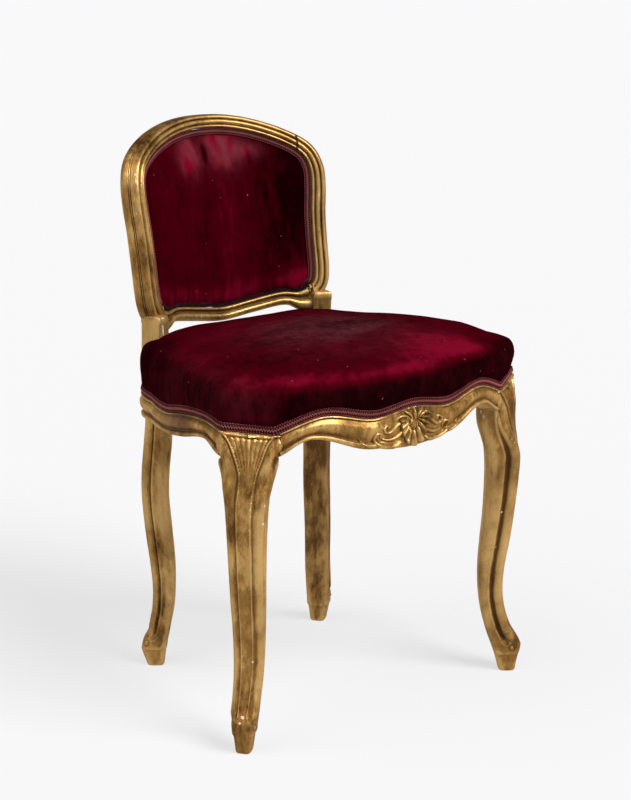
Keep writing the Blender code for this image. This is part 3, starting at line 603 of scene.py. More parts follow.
# ---------------------------------------------------------------- legs
def both_halves(right, left):
    """Keys of a whole outline from those of its halves, which run from the outer middle to the inner one."""
    return np.concatenate((right, left[..., -2:0:-1, :]), axis=-2)


def mirror_keys(right):
    return both_halves(right, right * np.array((-1.0, 1.0)))


def unrolled(outlines):
    """Distance of each point round its outline from the outer middle, negative on the left half."""
    steps = np.linalg.norm(np.roll(outlines, -1, axis=1) - outlines, axis=2)
    count = outlines.shape[1]
    forward = np.concatenate((np.zeros((len(steps), 1)), np.cumsum(steps, axis=1)[:, :-1]), axis=1)
    total = steps.sum(axis=1)[:, None]
    return np.where(np.arange(count)[None, :] <= count // 2, forward, forward - total)


def outward_of(outlines):
    run = np.roll(outlines, -1, axis=1) - np.roll(outlines, 1, axis=1)
    run /= np.maximum(np.linalg.norm(run, axis=2, keepdims=True), 1e-9)
    return np.stack((-run[..., 1], run[..., 0]), axis=-1)


def leg_levels(top, fine_from=None):
    """Heights of the rings: close together at the foot and the knee."""
    levels = [np.arange(0.0, 0.060, 0.0010), np.arange(0.060, fine_from or top, 0.0026)]
    if fine_from:
        levels.append(np.arange(fine_from, top, 0.0009))
    return np.concatenate(levels + [[top]])


def leg_keys(table, z):
    """Key points of a leg's outline at each height: how far across its bow, and how far along it."""
    shift, wide, deep = curve(table, z).T
    keys = mirror_keys(np.array(LEG_OUTLINE))
    return np.stack((keys[:, 0] * wide[:, None], shift[:, None] + keys[:, 1] * deep[:, None]), axis=-1)


def turned(angle):
    """Outward direction of a leg turned by an angle, and the direction across it."""
    out = np.array((math.cos(angle), math.sin(angle)))
    return out, np.array((-out[1], out[0]))


def toe_features(s, z, groove):
    """Small curls above the toe where the corner beads end, and the side groove's round hollow, in mm."""
    across = np.abs(s) - groove
    r = np.hypot(across + CURL_INSET, z - CURL_Z)
    curl = 1.3 * np.clip(1.0 - (r / CURL_RADIUS) ** 2, 0.0, 1.0) ** 0.5 - 0.9 * bump(r, 0.0042, 0.0010)
    near = smoothstep(0.0075, 0.0055, r)
    end = np.hypot(across * 1.1, np.minimum(z - COLLAR_Z, 0.0))
    collar = 0.9 * bump(end, 0.0062, 0.0013) * smoothstep(COLLAR_Z + 0.0020, COLLAR_Z - 0.0020, z)
    return curl * near + collar, near


def front_leg():
    """Front leg of the right side, knee included."""
    middle, along, outward = knee_axes()
    axes = np.stack((along, outward), axis=1)
    half = np.linalg.norm(KNEE_B - KNEE_A) / 2

    def local(x, y):
        return (np.array((x, y)) - middle) @ axes

    z_low = leg_levels(KNEE_TOP_Z, KNEE_FINE_Z)
    climb = np.linspace(0.0, 1.0, KNEE_RINGS)[1:]
    rows = len(z_low) + len(climb)
    z_row = np.concatenate((z_low, np.full(len(climb), KNEE_TOP_Z)))
    climb_row = np.concatenate((np.zeros(len(z_low)), climb))

    leg_out, leg_across = turned(FRONT_LEG_TURN)
    keys = leg_keys(FRONT_LEG, z_row)
    low_keys = (FRONT_FOOT + keys[..., :1] * leg_across + keys[..., 1:] * leg_out - middle) @ axes

    depth = (knee_line(0.5) - KNEE_TOP_Z) * (1.0 - climb_row)
    bulge = curve(KNEE_BULGE, depth)

    def knee_half(sign, corner, joint, inwards, inner):
        """Keys from the middle of the knee's face round the corner, the joint with a rail and the inside."""
        sideways = np.tile(sign * KNEE_FACE * half, (rows, 1))
        face = np.stack((sideways, bulge[:, None] * (1.0 - KNEE_FACE ** 2)), axis=-1)
        joint = np.array(joint)
        rest = [corner, joint] + [joint + np.array(inwards) * RAIL_THICK * q for q in (0.33, 0.66, 1.0)]
        rest = np.array([local(*p) for p in rest + [*inner, KNEE_INSIDE]])
        return np.concatenate((face, np.tile(rest, (rows, 1, 1))), axis=1)

    side_joint = side_x(SIDE_RAIL_START), SIDE_RAIL_START
    front_joint = FRONT_RAIL_END, front_y(FRONT_RAIL_END)
    right = knee_half(1.0, KNEE_B, side_joint, (-1.0, 0.0), KNEE_BY_SIDE_RAIL)
    left = knee_half(-1.0, KNEE_A, front_joint, (0.0, 1.0), KNEE_BY_FRONT_RAIL)
    knee_keys = both_halves(right, left)
    w = smoothstep(*KNEE_BLEND, z_row)[:, None, None]
    counts = OUTLINE_POINTS + OUTLINE_POINTS[::-1]
    outlines = closed_outlines(low_keys * (1 - w) + knee_keys * w, counts)

    s = unrolled(outlines)
    normal = outward_of(outlines)
    line = knee_line((outlines[..., 0] + half) / (2 * half))
    z = z_row[:, None] + (line - KNEE_TOP_Z) * climb_row[:, None]
    joint_s, side_s = (s[:, sum(OUTLINE_POINTS[:key])] for key in (GROOVE_KEY, SIDE_KEY))
    turn = smoothstep(*GROOVE_TURN, z_row)
    groove_row = (side_s - curve(SIDE_GROOVE, z_row) * MM) * (1 - turn) + (joint_s + 0.0008) * turn
    height = knee_features(s, z, z_row, groove_row, line)
    outlines = outlines + normal * (height * MM)[..., None]
    flat = middle + outlines @ axes.T
    return loft(np.concatenate((flat, z[..., None]), axis=2))


def moulding_edge(z_row, groove_row):
    """The moulding's outer line: up the groove in the leg's side, then out along the rail's lower edge.
    Also the groove alone, as distances at even levels."""
    levels = np.linspace(0.0, KNEE_TOP_Z, 90)
    rows = np.argmax(z_row >= KNEE_TOP_Z) + 1
    groove = np.interp(levels, z_row[:rows], groove_row[:rows])
    sweep = 0.0120 * np.clip((levels - 0.3560) / 0.0175, 0.0, 1.0) ** 3
    line = np.stack((groove + sweep, levels), axis=1)
    return np.concatenate((line, [(line[-1, 0] + 0.03, KNEE_TOP_Z + 0.0003)])), levels, groove


def fan_edge(top):
    """Edge of the band down the leg and of the fan that it opens into, up to the rail's top line."""
    z = np.linspace(0.0, 0.400, 120)
    edge = np.stack((curve(FAN, z) * MM, z), axis=1)
    edge[:, 1] += (top - 0.400) * smoothstep(0.36, 0.400, z)
    return edge


def fan_height(across, z, under, rail):
    """The flutes of the fan, the hollow band below them and the lip along the top, in mm."""
    fluted = smoothstep(*FLUTES_FROM, z) * smoothstep(0.0042, 0.0075, under)
    ridges = np.abs(np.cos(0.5 * math.pi * FLUTES * across)) ** 0.75
    height = (1 - fluted) * (-1.1 * (1.0 - across ** 4)) + fluted * (-1.5 + (0.5 + 1.0 * rail) * ridges)
    height += 1.9 * bump(under, 0.0024, 0.0017) - 0.6 * bump(under, 0.0058, 0.0013)
    return height


def knee_features(s, z, z_row, groove_row, line):
    """Carving of the front leg in mm: fan, lip, corner beads and side grooves, flowing out of the rails."""
    height = np.zeros(s.shape)
    outer_line, levels, groove_at = moulding_edge(z_row, groove_row)
    for sign, top in ((1.0, SIDE_LINE[0][1]), (-1.0, FRONT_LINE[-1][1])):
        mine = s * sign >= 0
        away, level, under = np.abs(s[mine]), z[mine], line[mine] - z[mine]
        points, edge = np.stack((away, level), axis=1), fan_edge(top)
        # The moulding lies between the fan's edge and the outer line
        d_in, _ = line_distance(points, np.concatenate((edge, [(0.0335, top), (0.0700, top)])))
        d_out, _ = line_distance(points, outer_line)
        share = d_in / np.maximum(d_in + d_out, 1e-9)
        rail = smoothstep(*RAIL_BLEND, level)
        flank = lip(d_in) * (0.15 + 0.85 * rail)
        flank += curve(LEG_MOULD, share) * (1 - rail) + curve(RAIL_MOULD, share) * rail
        groove = np.interp(level, levels, groove_at)
        over = away - groove
        behind = -3.3 * (1.0 - smoothstep(0.0012, 0.0044, over)) + 0.6 * bump(over, 0.0056, 0.0010)
        flank = np.where((over > 0) & (level < KNEE_TOP_Z + 0.0003), behind, flank)
        fan = np.interp(level, edge[:, 1], edge[:, 0])
        across = np.clip(away / np.maximum(fan, 1e-6), 0.0, 1.0)
        on_fan = (away < fan) & (level < top - 0.0002)
        carved = np.where(on_fan, fan_height(across, level, under, rail), flank)
        curl, near = toe_features(away, level, groove)
        height[mine] = carved * smoothstep(*CARVED_FROM, level) * (1 - near) + curl
    return height


def back_leg_rings():
    """Sections of a back leg up to the seat frame."""
    out, across = turned(BACK_LEG_TURN)
    z = leg_levels(POST_TOP)
    counts = tuple(max(c // 2, 3) for c in OUTLINE_POINTS)
    outlines = closed_outlines(leg_keys(BACK_LEG, z), counts + counts[::-1])
    s, normal = unrolled(outlines), outward_of(outlines)
    groove = s[:, sum(counts[:GROOVE_KEY])][:, None]
    away, level = np.abs(s), z[:, None] + 0 * s
    share = np.clip((away - BACK_BAND) / (groove - BACK_BAND), 0.0, 1.0)
    over = away - groove
    flank = lip(away - BACK_BAND) * 0.15 + curve(LEG_MOULD, share)
    height = np.where(away < BACK_BAND, -1.0 * (1.0 - (away / BACK_BAND) ** 4), flank)
    wide_low = 0.4 * smoothstep(0.110, 0.060, level)
    behind = -2.0 * (1.0 - smoothstep(0.0, 0.0016 + 0.004 * wide_low, over))
    behind += 0.3 * bump(over, 0.0030, 0.0010)
    height = np.where(over > 0, behind, height * (0.6 + wide_low))
    curl, near = toe_features(s, level, groove)
    height = height * smoothstep(*CARVED_FROM, level) * (1 - near) + curl
    outlines = outlines + normal * (height * MM)[..., None]
    sway = BACK_SWAY * smoothstep(*SWAY_LEVELS, z)[:, None, None]
    flat = BACK_FOOT + outlines @ np.stack((across, out)) + sway * across
    # Above the rail's lower edge the leg is cut back to the post inside the corner
    post = smoothstep(*POST_CUT, z)[:, None, None]
    flat += (POST_CORNER - flat) * (1.0 - POST_SHARE) * post
    return np.concatenate((flat, level[..., None]), axis=2)


def block_rings():
    """The square block between the back leg and the stile, its top turned to meet the stile's section."""
    sections = []
    for z, proud in BLOCK_LEVELS:
        corners = BLOCK + (BLOCK_TOP - BLOCK) * smoothstep(*BLOCK_TURN, z)
        ring = []
        for k, corner in enumerate(corners):
            before, after = corners[k - 1], corners[(k + 1) % 4]
            a = corner + unit(before - corner) * BLOCK_ROUND
            b = corner + unit(after - corner) * BLOCK_ROUND
            ring += [a, a * 0.3 + corner * 0.4 + b * 0.3, b]
            ring += [b + (after - b) * q for q in (0.2, 0.4, 0.6, 0.8)]
        ring = np.array(ring)
        ring += unit(ring - corners.mean(axis=0)) * proud
        sections.append(np.column_stack((ring, np.full(len(ring), z))))
    return np.array(sections)


# ---------------------------------------------------------------- back frame
def back_surface(x, z):
    return BACK_Y + BACK_RAKE * (z - BACK_Z) - BACK_CURVE * x * x


def back_normals(x):
    return unit(np.stack((-2 * BACK_CURVE * x, -np.ones_like(x), np.full_like(x, BACK_RAKE)), axis=-1))


def sweep_frame(path):
    """For places on the sight line: their points on the back's surface, outward directions and normals."""
    run = np.gradient(path, axis=0)
    x, z = path.T
    along = np.stack((run[:, 0], -2 * BACK_CURVE * x * run[:, 0] + BACK_RAKE * run[:, 1], run[:, 1]), axis=1)
    normal = back_normals(x)
    return np.stack((x, back_surface(x, z), z), axis=1), unit(np.cross(along, normal)), normal


def profile_points(mould):
    return evenly(mould, PROFILE_STEP, closed=True) * MM


def swept(path, profile, widen, rows=None, skew=None):
    """Sections along a path, or along some of its rows; skew leans each one along the path as it goes out."""
    points, out, normal = sweep_frame(path)
    u, w = profile.T
    rows = np.arange(len(path)) if rows is None else rows
    where = rows[:, None] + 0 * u
    if skew is not None:
        where = where + skew[:, None] * u / SWEEP_STEP

    def at(values):
        return np.stack([np.interp(where, np.arange(len(path)), column) for column in values.T], axis=-1)

    return at(points) + at(out) * (u * widen[:, None])[..., None] + at(normal) * w[None, :, None]


SWEEP_STEP = 0.0020           # between sections along the sight line
PROFILE_STEP = 0.6            # between points round a section, in mm
# The right joint of the crest rail is a skew cut that has opened
JOINT_SKEW = 0.45             # its lean along the sight line, for each step outward
JOINT_SPREAD = 26             # sections on each side of it that turn to follow its lean
JOINT_GAP = 0.10              # its width, in steps
JOINT_EDGE = 0.45             # where its worn edges begin, in steps
JOINT_WORN = 0.90             # to this share of their size its faces are drawn in


def sight_line():
    """The sight line, from its middle at the bottom round by the right, and the row of the right joint."""
    path = evenly(both_sides(SIGHT), SWEEP_STEP, closed=True)
    joint = int(np.argmax((path[:, 1] > 0.6) & (path[:, 0] < CREST_JOINT_X)))
    return path, joint


def frame_width(z):
    return FRAME_WIDTHS[0] + (FRAME_WIDTHS[1] - FRAME_WIDTHS[0]) * smoothstep(*NARROWING, z)


def drawn_in(section):
    middle = section.mean(axis=0)
    return middle + (section - middle) * JOINT_WORN


def stile(skewed):
    """A stile of the back up to the joint at its shoulder, which is a skew cut on one side only."""
    path, joint = sight_line()
    first = int(np.argmax((path[:, 1] > STILE_FOOT_Z + 0.004) & (path[:, 0] > 0.1225)))
    rows = np.concatenate((np.arange(first, joint), (joint - JOINT_EDGE, joint)))
    skew = JOINT_SKEW * skewed * smoothstep(joint - JOINT_SPREAD, joint, rows)
    width = frame_width(path[np.round(rows).astype(int), 1])
    rings = swept(path, profile_points(STILE_MOULD), width, rows, skew)
    if skewed:
        rings[-1] = drawn_in(rings[-1])
    # The lowest sections stand level on the block
    foot = np.repeat(rings[:1], 3, axis=0)
    for section, level in zip(foot, (STILE_FOOT_Z - 0.001, STILE_FOOT_Z + 0.004, STILE_FOOT_Z + 0.009)):
        section[:, 1] -= BACK_RAKE * (rings[0][:, 2].mean() - level)
        section[:, 2] = level
    return loft(np.concatenate((foot, rings)))


def crest():
    """The crest rail between its two joints; its outer side loses its quirks towards the middle."""
    path, joint = sight_line()
    rows = np.arange(joint + 1, len(path) - joint + 1)
    rows = np.concatenate(((joint + JOINT_GAP, joint + JOINT_EDGE), rows))
    skew = JOINT_SKEW * smoothstep(joint + JOINT_SPREAD, joint, rows)
    places = path[np.round(rows).astype(int)]
    narrow = frame_width(places[:, 1])
    profile = profile_points(STILE_MOULD)
    rings = swept(path, profile, narrow, rows, skew)
    plain = profile.copy()
    quirks = (plain[:, 1] > QUIRKS[0] * MM) & (plain[:, 1] < QUIRKS[1] * MM)
    plain[quirks, 0] = np.maximum(plain[quirks, 0], PLAIN_SIDE * MM)
    share = smoothstep(0.130, 0.095, np.abs(places[:, 0]))[:, None, None]
    rings += (swept(path, plain, narrow, rows, skew) - rings) * share
    rings[0] = drawn_in(rings[0])
    return loft(rings)


def lower_rail():
    """The lower rail of the back, which widens to meet the stiles."""
    path, _ = sight_line()
    low = (path[:, 1] < 0.49) & (path[:, 0] < 0.106) & (path[:, 0] >= -1e-6)
    right = path[low]
    tail = evenly((right[-1], (0.1125, 0.4864), (LOWER_RAIL_END, 0.4905)), SWEEP_STEP)[1:]
    half = np.concatenate((right, tail))
    path = np.concatenate((half[:0:-1] * np.array((-1.0, 1.0)), half))
    x = np.abs(path[:, 0])
    flare = 1.12 + 1.20 * smoothstep(0.100, LOWER_RAIL_END + 0.005, x)
    return loft(swept(path, profile_points(LOWER_MOULD), flare))


# ---------------------------------------------------------------- upholstery
SEAT_MIDDLE = np.array((0.0, 0.140))
# Round the outside of the back leg's block: x, y and height of the wood's top line
SEAT_BACK_KEYS = mm((170.5, 272, 382.5), (166.5, 288, 382.2), (161.5, 304, 382.5), (153, 318.5, 384),
                    (139, 324.5, 387), (120, 323, 389), (80, 322.2, 389.2), (40, 322, 389.2),
                    (0, 322, 389.2))
# Distance in mm outside the wood's face and share of the height from the gimp to the shoulder
SEAT_WALL = ((-3.0, 0.0), (0.6, 0.04), (3.6, 0.10), (6.4, 0.20), (8.2, 0.32), (8.8, 0.44), (8.4, 0.56),
             (7.0, 0.68), (4.4, 0.79), (0.6, 0.88), (-4.5, 0.95), (-10.5, 0.99))


def seat_path(step):
    """The upholstery's outline where it meets the wood, closed: x, y and height."""
    x = np.linspace(0.0, 0.183, 26)
    front = np.stack((x, front_y(x), curve(FRONT_LINE, x)), axis=1)
    q = np.array((0.02, 0.2, 0.5, 0.8, 0.96))
    knee = KNEE_A + (KNEE_B - KNEE_A) * q[:, None]
    knee = np.concatenate((knee, knee_line(q)[:, None]), axis=1)
    y = np.linspace(0.0265, 0.262, 26)
    side = np.stack((side_x(y), y, curve(SIDE_LINE, y)), axis=1)
    return evenly(both_sides(np.concatenate((front, knee, side, SEAT_BACK_KEYS))), step, closed=True)


def path_outward(path):
    run = steps_round(path)
    outward = unit(np.stack((run[:, 1], -run[:, 0]), axis=1))
    for _ in range(3):
        outward = (outward * 2 + np.roll(outward, 1, axis=0) + np.roll(outward, -1, axis=0)) / 4
    return unit(outward)


def shoulder_height(x, y):
    """Height of the cushion's rolled edge, lower at the front corners."""
    height = curve(((-0.060, 0.4690), (0.060, 0.4690), (0.200, 0.4650), (0.330, 0.4575)), y)
    height -= 0.0080 * smoothstep(0.120, 0.210, np.abs(x)) * smoothstep(0.110, 0.030, y)
    return height + (0.0040 - 0.0075 * smoothstep(0.095, 0.150, np.abs(x))) * smoothstep(0.180, 0.260, y)


def seat_body():
    """Stuffed seat as a closed body: the wall above the gimp, the rolled shoulder and the crown."""
    path = seat_path(0.0040)
    outward = path_outward(path)
    base = path[:, 2] + GIMP_HIGH
    shoulder = shoulder_height(*path[:, :2].T)

    def ring(distance, z):
        flat = path[:, :2] + outward * distance * MM
        return np.concatenate((flat, np.broadcast_to(z, (len(path),))[:, None]), axis=1)

    slack = 1.0 - 0.30 * smoothstep(0.090, 0.200, path[:, 1])
    slack -= 0.35 * smoothstep(0.170, 0.215, np.abs(path[:, 0])) * smoothstep(0.060, 0.020, path[:, 1])
    rings = [ring(-5.5, path[:, 2] + 0.0012), ring(-3.0, path[:, 2] + 0.0012)]
    for distance, share in SEAT_WALL:
        distance = distance * (slack[:, None] if distance > 0 else 1.0)
        rings.append(ring(distance, base + (shoulder - base) * share))
    edge = rings[-1]
    for inward in np.linspace(0.06, 0.97, 22):
        flat = SEAT_MIDDLE + (edge[:, :2] - SEAT_MIDDLE) * (1 - inward)
        rise = 1.0 - (1.0 - inward) ** 2.1
        rings.append(np.concatenate((flat, (edge[:, 2] + (SEAT_CROWN - edge[:, 2]) * rise)[:, None]), axis=1))
    under = rings[0].copy()
    under[:, :2] = SEAT_MIDDLE + (under[:, :2] - SEAT_MIDDLE) * 0.9
    return loft([under] + rings)


CLOTH_STEPS = 20


def stuffed(item, voxel, pressure, most, held_where):
    """Let the cover of a cushion swell under the pressure of its stuffing, and keep the result."""
    scene = bpy.context.scene
    remesh = item.modifiers.new("even cloth", "REMESH")
    remesh.mode = "VOXEL"
    remesh.voxel_size = voxel
    apply_modifiers(item)
    start = coordinates(item.data)
    held = item.vertex_groups.new(name="held")
    for index, weight in enumerate(held_where(start)):
        if weight > 0.01:
            held.add([index], float(weight), "REPLACE")
    cloth = item.modifiers.new("stuffing", "CLOTH")
    cloth.settings.use_pressure = True
    cloth.settings.uniform_pressure_force = pressure
    cloth.settings.vertex_group_mass = "held"
    cloth.settings.quality = 5
    cloth.settings.effector_weights.gravity = 0.0
    for step in range(CLOTH_STEPS):
        scene.frame_set(step + 1)
    apply_modifiers(item)
    scene.frame_set(1)
    moved = coordinates(item.data) - start
    size = np.maximum(np.linalg.norm(moved, axis=1), 1e-9)
    start = start + moved * (np.minimum(size, most) / size)[:, None]
    item.vertex_groups.clear()
    move_points(item.data, smoothed(start, edge_ends(item.data), 2))
    finer = item.modifiers.new("finer", "SUBSURF")
    finer.levels = finer.render_levels = 1
    apply_modifiers(item)
    item.data.shade_smooth()


def apply_modifiers(item):
    bpy.context.view_layer.update()
    evaluated = item.evaluated_get(bpy.context.evaluated_depsgraph_get())
    mesh = bpy.data.meshes.new_from_object(evaluated)
    item.modifiers.clear()
    item.data = mesh


def around_seat(points):
    """For each point: the height of the wood's top line beside it, and its direction from the middle."""
    path = seat_path(0.0040)
    path[:, 1] -= ORIGIN_Y
    middle = SEAT_MIDDLE - np.array((0.0, ORIGIN_Y))
    angles = np.arctan2(path[:, 0] - middle[0], -(path[:, 1] - middle[1]))
    order = np.argsort(angles)
    mine = np.arctan2(points[:, 0] - middle[0], -(points[:, 1] - middle[1]))
    line = np.interp(mine, angles[order], path[order, 2], period=2 * math.pi)
    return line, mine


def make_seat(velvet):
    item = build("seat_velvet", seat_body(), velvet)

    def held_where(points):
        line, _ = around_seat(points)
        return 1.0 - smoothstep(0.006, 0.018, points[:, 2] - line)

    stuffed(item, 0.0055, 4.0, 0.0035, held_where)
    points, normals = coordinates(item.data), vertex_normals(item.data)
    line, angle = around_seat(points)
    over_gimp = points[:, 2] - line - GIMP_HIGH
    # Soft unevenness of the stuffing, and puckers where the velvet is nailed under the gimp
    soft = noise_at(points, 14.0, 2.0, 2) * smoothstep(0.004, 0.020, over_gimp)
    ring = np.stack((np.sin(angle), np.cos(angle), 0 * angle), axis=1)
    nailed = smoothstep(0.0, 0.004, over_gimp) * smoothstep(0.030, 0.008, over_gimp)
    puckers = 0.9 * noise_at(ring, 26.0, 4.0, 2) * nailed
    x, y, z = points.T
    hollow = -1.6 * blob(x, y, (0.02, -0.03), (0.11, 0.10)) * smoothstep(0.455, 0.468, z)
    points = points + normals * ((soft + puckers + hollow) * MM)[:, None]
    move_points(item.data, points)
    return finish_velvet(item, seat_nap_and_sheen(points), seat_wear_and_sheen(points), "seat_pad")


def finish_velvet(item, nap_and_sheen, rubbed, node):
    # Nap with painted sheen and shade, and rubbed pile with painted sheen on the seat's left side and lower
    # wall, as values for the velvet's colour
    set_values(item.data, "nap_and_sheen", nap_and_sheen)
    set_values(item.data, "rubbed", rubbed)
    return finish_piece(item, "crimson_velvet", node)


def blob(x, y, middle, reach):
    """A soft spot, 1 at its middle."""
    return np.exp(-(((x - middle[0]) / reach[0]) ** 2 + ((y - middle[1]) / reach[1]) ** 2))


def seat_nap_and_sheen(points):
    """How bright the velvet is painted, from 0, dark, to 1: the nap's drift and streaks together with painted
    sheen and painted shade.
    """
    x, y, z = points.T
    top = smoothstep(0.452, 0.470, z)
    front = smoothstep(-0.120, -0.190, y)
    broad = 0.13 * noise_at(points, 9.0, 11.0, 2, (1.0, 1.6, 1.0))
    streaks = 0.08 * noise_at(points, 60.0, 5.0, 2, (0.35, 1.0, 1.0))
    # Painted light: the top brighter than the walls, the left end a little lighter, and painted highlights
    # along the front roll and at the right front of the top
    level = 0.14 + 0.30 * top + 0.14 * smoothstep(-0.150, -0.210, x)
    level += 0.42 * front * bump(z, 0.4620, 0.0090) * smoothstep(0.060, 0.0, x)
    level += 0.50 * top * blob(x, y, (0.085, -0.195), (0.075, 0.060))
    level += 0.20 * top * blob(x, y, (-0.130, 0.020), (0.070, 0.060))
    level -= 0.16 * top * blob(x, y, (0.0, -0.060), (0.080, 0.070))
    level -= 0.10 * top * smoothstep(0.0, 0.100, y)
    return np.clip(level + (broad + streaks) * (0.5 + 0.7 * top), 0.0, 1.0)


def seat_wear_and_sheen(points):
    """Where sitting has worn the pile, in the middle of the seat, and a painted sheen that greys the left
    side and the lower wall.
    """
    x, y, z = points.T
    worn = blob(x, y, (-0.005, -0.065), (0.100, 0.080)) * smoothstep(0.455, 0.468, z)
    # Painted sheen: a greyish veil on the left side and low on the wall
    worn = np.maximum(worn, 0.14 * smoothstep(-0.170, -0.220, x) + 0.07 * smoothstep(0.462, 0.445, z))
    return np.clip(worn * (0.50 + 0.3 * noise_at(points, 26.0, 8.0, 2, (0.5, 1.3, 1.0))), 0.0, 1.0)


def inset_sight(inset, step=0.0030):
    path = evenly(both_sides(SIGHT), step, closed=True)
    run = unit(steps_round(path))
    return path + np.stack((-run[:, 1], run[:, 0]), axis=1) * inset


def back_points(flat, w):
    x, z = flat.T
    return np.stack((x, back_surface(x, z), z), axis=1) + back_normals(x) * w


BACK_MIDDLE = np.array((0.0, 0.597))
# Share of the way in from the gimp, and height over the back's surface in mm
BACK_CROWN = ((0.0, 0.4), (0.02, 2.2), (0.06, 4.6), (0.14, 7.0), (0.30, 9.4), (0.55, 11.0), (0.97, 11.6))


BACK_RINGS = (0.0, 0.01, 0.02, 0.04, 0.07, 0.10, 0.14, 0.19, 0.25, 0.32, 0.40, 0.5, 0.6, 0.7, 0.8, 0.9, 0.97)
BACK_SAG = 0.0085             # how far the pad hangs over the gimp along its lower edge


def toward_middle(edge, left):
    """An outline on the back drawn in to so much of its size."""
    return BACK_MIDDLE + (edge - BACK_MIDDLE) * left


def inner_side(edge, w):
    """Rings of a cover's hidden flat side, from its middle to the edge."""
    sizes = (0.03, 0.15, 0.3, 0.45, 0.6, 0.75, 0.9, 1.0)
    return [back_points(toward_middle(edge, left), w) for left in sizes]


def back_body():
    edge = inset_sight(BACK_GIMP - 0.0010)
    rings = inner_side(edge, -0.0125)
    for share in BACK_RINGS:
        flat = toward_middle(edge, 1 - share)
        flat[:, 1] -= BACK_SAG * bump(share, 0.05, 0.06) * smoothstep(0.515, 0.494, edge[:, 1])
        rings.append(back_points(flat, float(curve(BACK_CROWN, share)) * MM))
    return loft(rings)


def clear_of_gimp(points):
    """1 where the back's velvet stands free, 0 where the gimp holds it down."""
    x, y, z = points.T
    return smoothstep(0.0005, 0.0040, -(y + ORIGIN_Y - back_surface(x, z)))


def make_back(velvet):
    item = build("back_velvet", back_body(), velvet)
    stuffed(item, 0.0045, 3.0, 0.0015, lambda points: 1.0 - clear_of_gimp(points))
    points, normals = coordinates(item.data), vertex_normals(item.data)
    x, _, z = points.T
    soft = 0.55 * noise_at(points, 16.0, 31.0, 2)
    near_top = smoothstep(0.655, 0.700, z + 0.9 * x * x)
    folds = 0.55 * noise_at(points, 75.0, 3.0, 2, (1.0, 0.0, 0.25)) * near_top
    folds -= 0.7 * blob(x, z, (-0.010, 0.690), (0.0040, 0.012))
    points = points + normals * ((soft + folds) * clear_of_gimp(points) * MM)[:, None]
    move_points(item.data, points)
    ragged = np.clip(0.75 + 1.3 * noise_at(points, 60.0, 14.0, 2, (1.0, 1.0, 0.4)), 0.0, 1.0)
    rubbed = np.clip(back_patches(x, z), 0.0, 1.0) * ragged
    return finish_velvet(item, back_nap_and_sheen(points), rubbed, "back_pad")


def back_patches(x, z):
    """The two patches at the top that leaning backs have brushed light, with painted shade in the fold
    between them.
    """
    patches = 0.95 * blob(x, z, (-0.036, 0.684), (0.018, 0.024))
    patches += blob(x, z, (0.018, 0.687), (0.024, 0.024)) + 0.5 * blob(x, z, (0.058, 0.683), (0.020, 0.012))
    # Painted shade in the fold, taken off the patches
    return patches - 0.7 * blob(x, z, (-0.010, 0.683), (0.0045, 0.012))


def back_nap_and_sheen(points):
    x, _, z = points.T
    broad = 0.15 * noise_at(points, 14.0, 41.0, 2, (1.4, 1.0, 0.40))
    streaks = 0.09 * noise_at(points, 150.0, 9.0, 2, (1.0, 1.0, 0.10))
    # Darker towards the right, a painted highlight along the rounded lower edge that overhangs the gimp, and
    # a bright spot near the lower right corner
    level = 0.42 + 0.16 * blob(x, z, (0.020, 0.600), (0.022, 0.090)) - 0.17 * smoothstep(0.045, 0.085, x)
    level += 0.26 * smoothstep(0.512, 0.490, z - 0.15 * np.abs(x))
    level += 0.40 * blob(x, z, (0.110, 0.510), (0.030, 0.025))
    return np.clip(level + broad + streaks + 0.75 * back_patches(x, z), 0.0, 1.0)


def make_outside_back(velvet):
    """The velvet panel on the back of the chair."""
    edge = inset_sight(0.0012)
    rings = inner_side(edge, -0.0172) + [back_points(edge, -0.0190)]
    for share in np.linspace(0.01, 0.97, 50):
        bulge = -0.0195 - 0.0022 * (1.0 - (1.0 - share) ** 3)
        rings.append(back_points(toward_middle(edge, 1 - share), bulge))
    item = build("outside_back_velvet", loft(rings), velvet)
    nap_and_sheen = back_nap_and_sheen(coordinates(item.data) * np.array((-1.0, 1.0, 1.0)))
    return finish_velvet(item, nap_and_sheen, np.zeros(len(nap_and_sheen)), "back_outside_cover")


# ---------------------------------------------------------------- gimp braid
def tube(line, across, up, radius, sides=6):
    """A cord along a closed line, with its section in the plane of across and up."""
    turn = 2 * math.pi * np.arange(sides) / sides
    sideways, upwards = (wave[None, :, None] * radius for wave in (np.cos(turn), np.sin(turn)))
    return loft(line[:, None] + (across[:, None] * sideways + up[:, None] * upwards), loop=True)


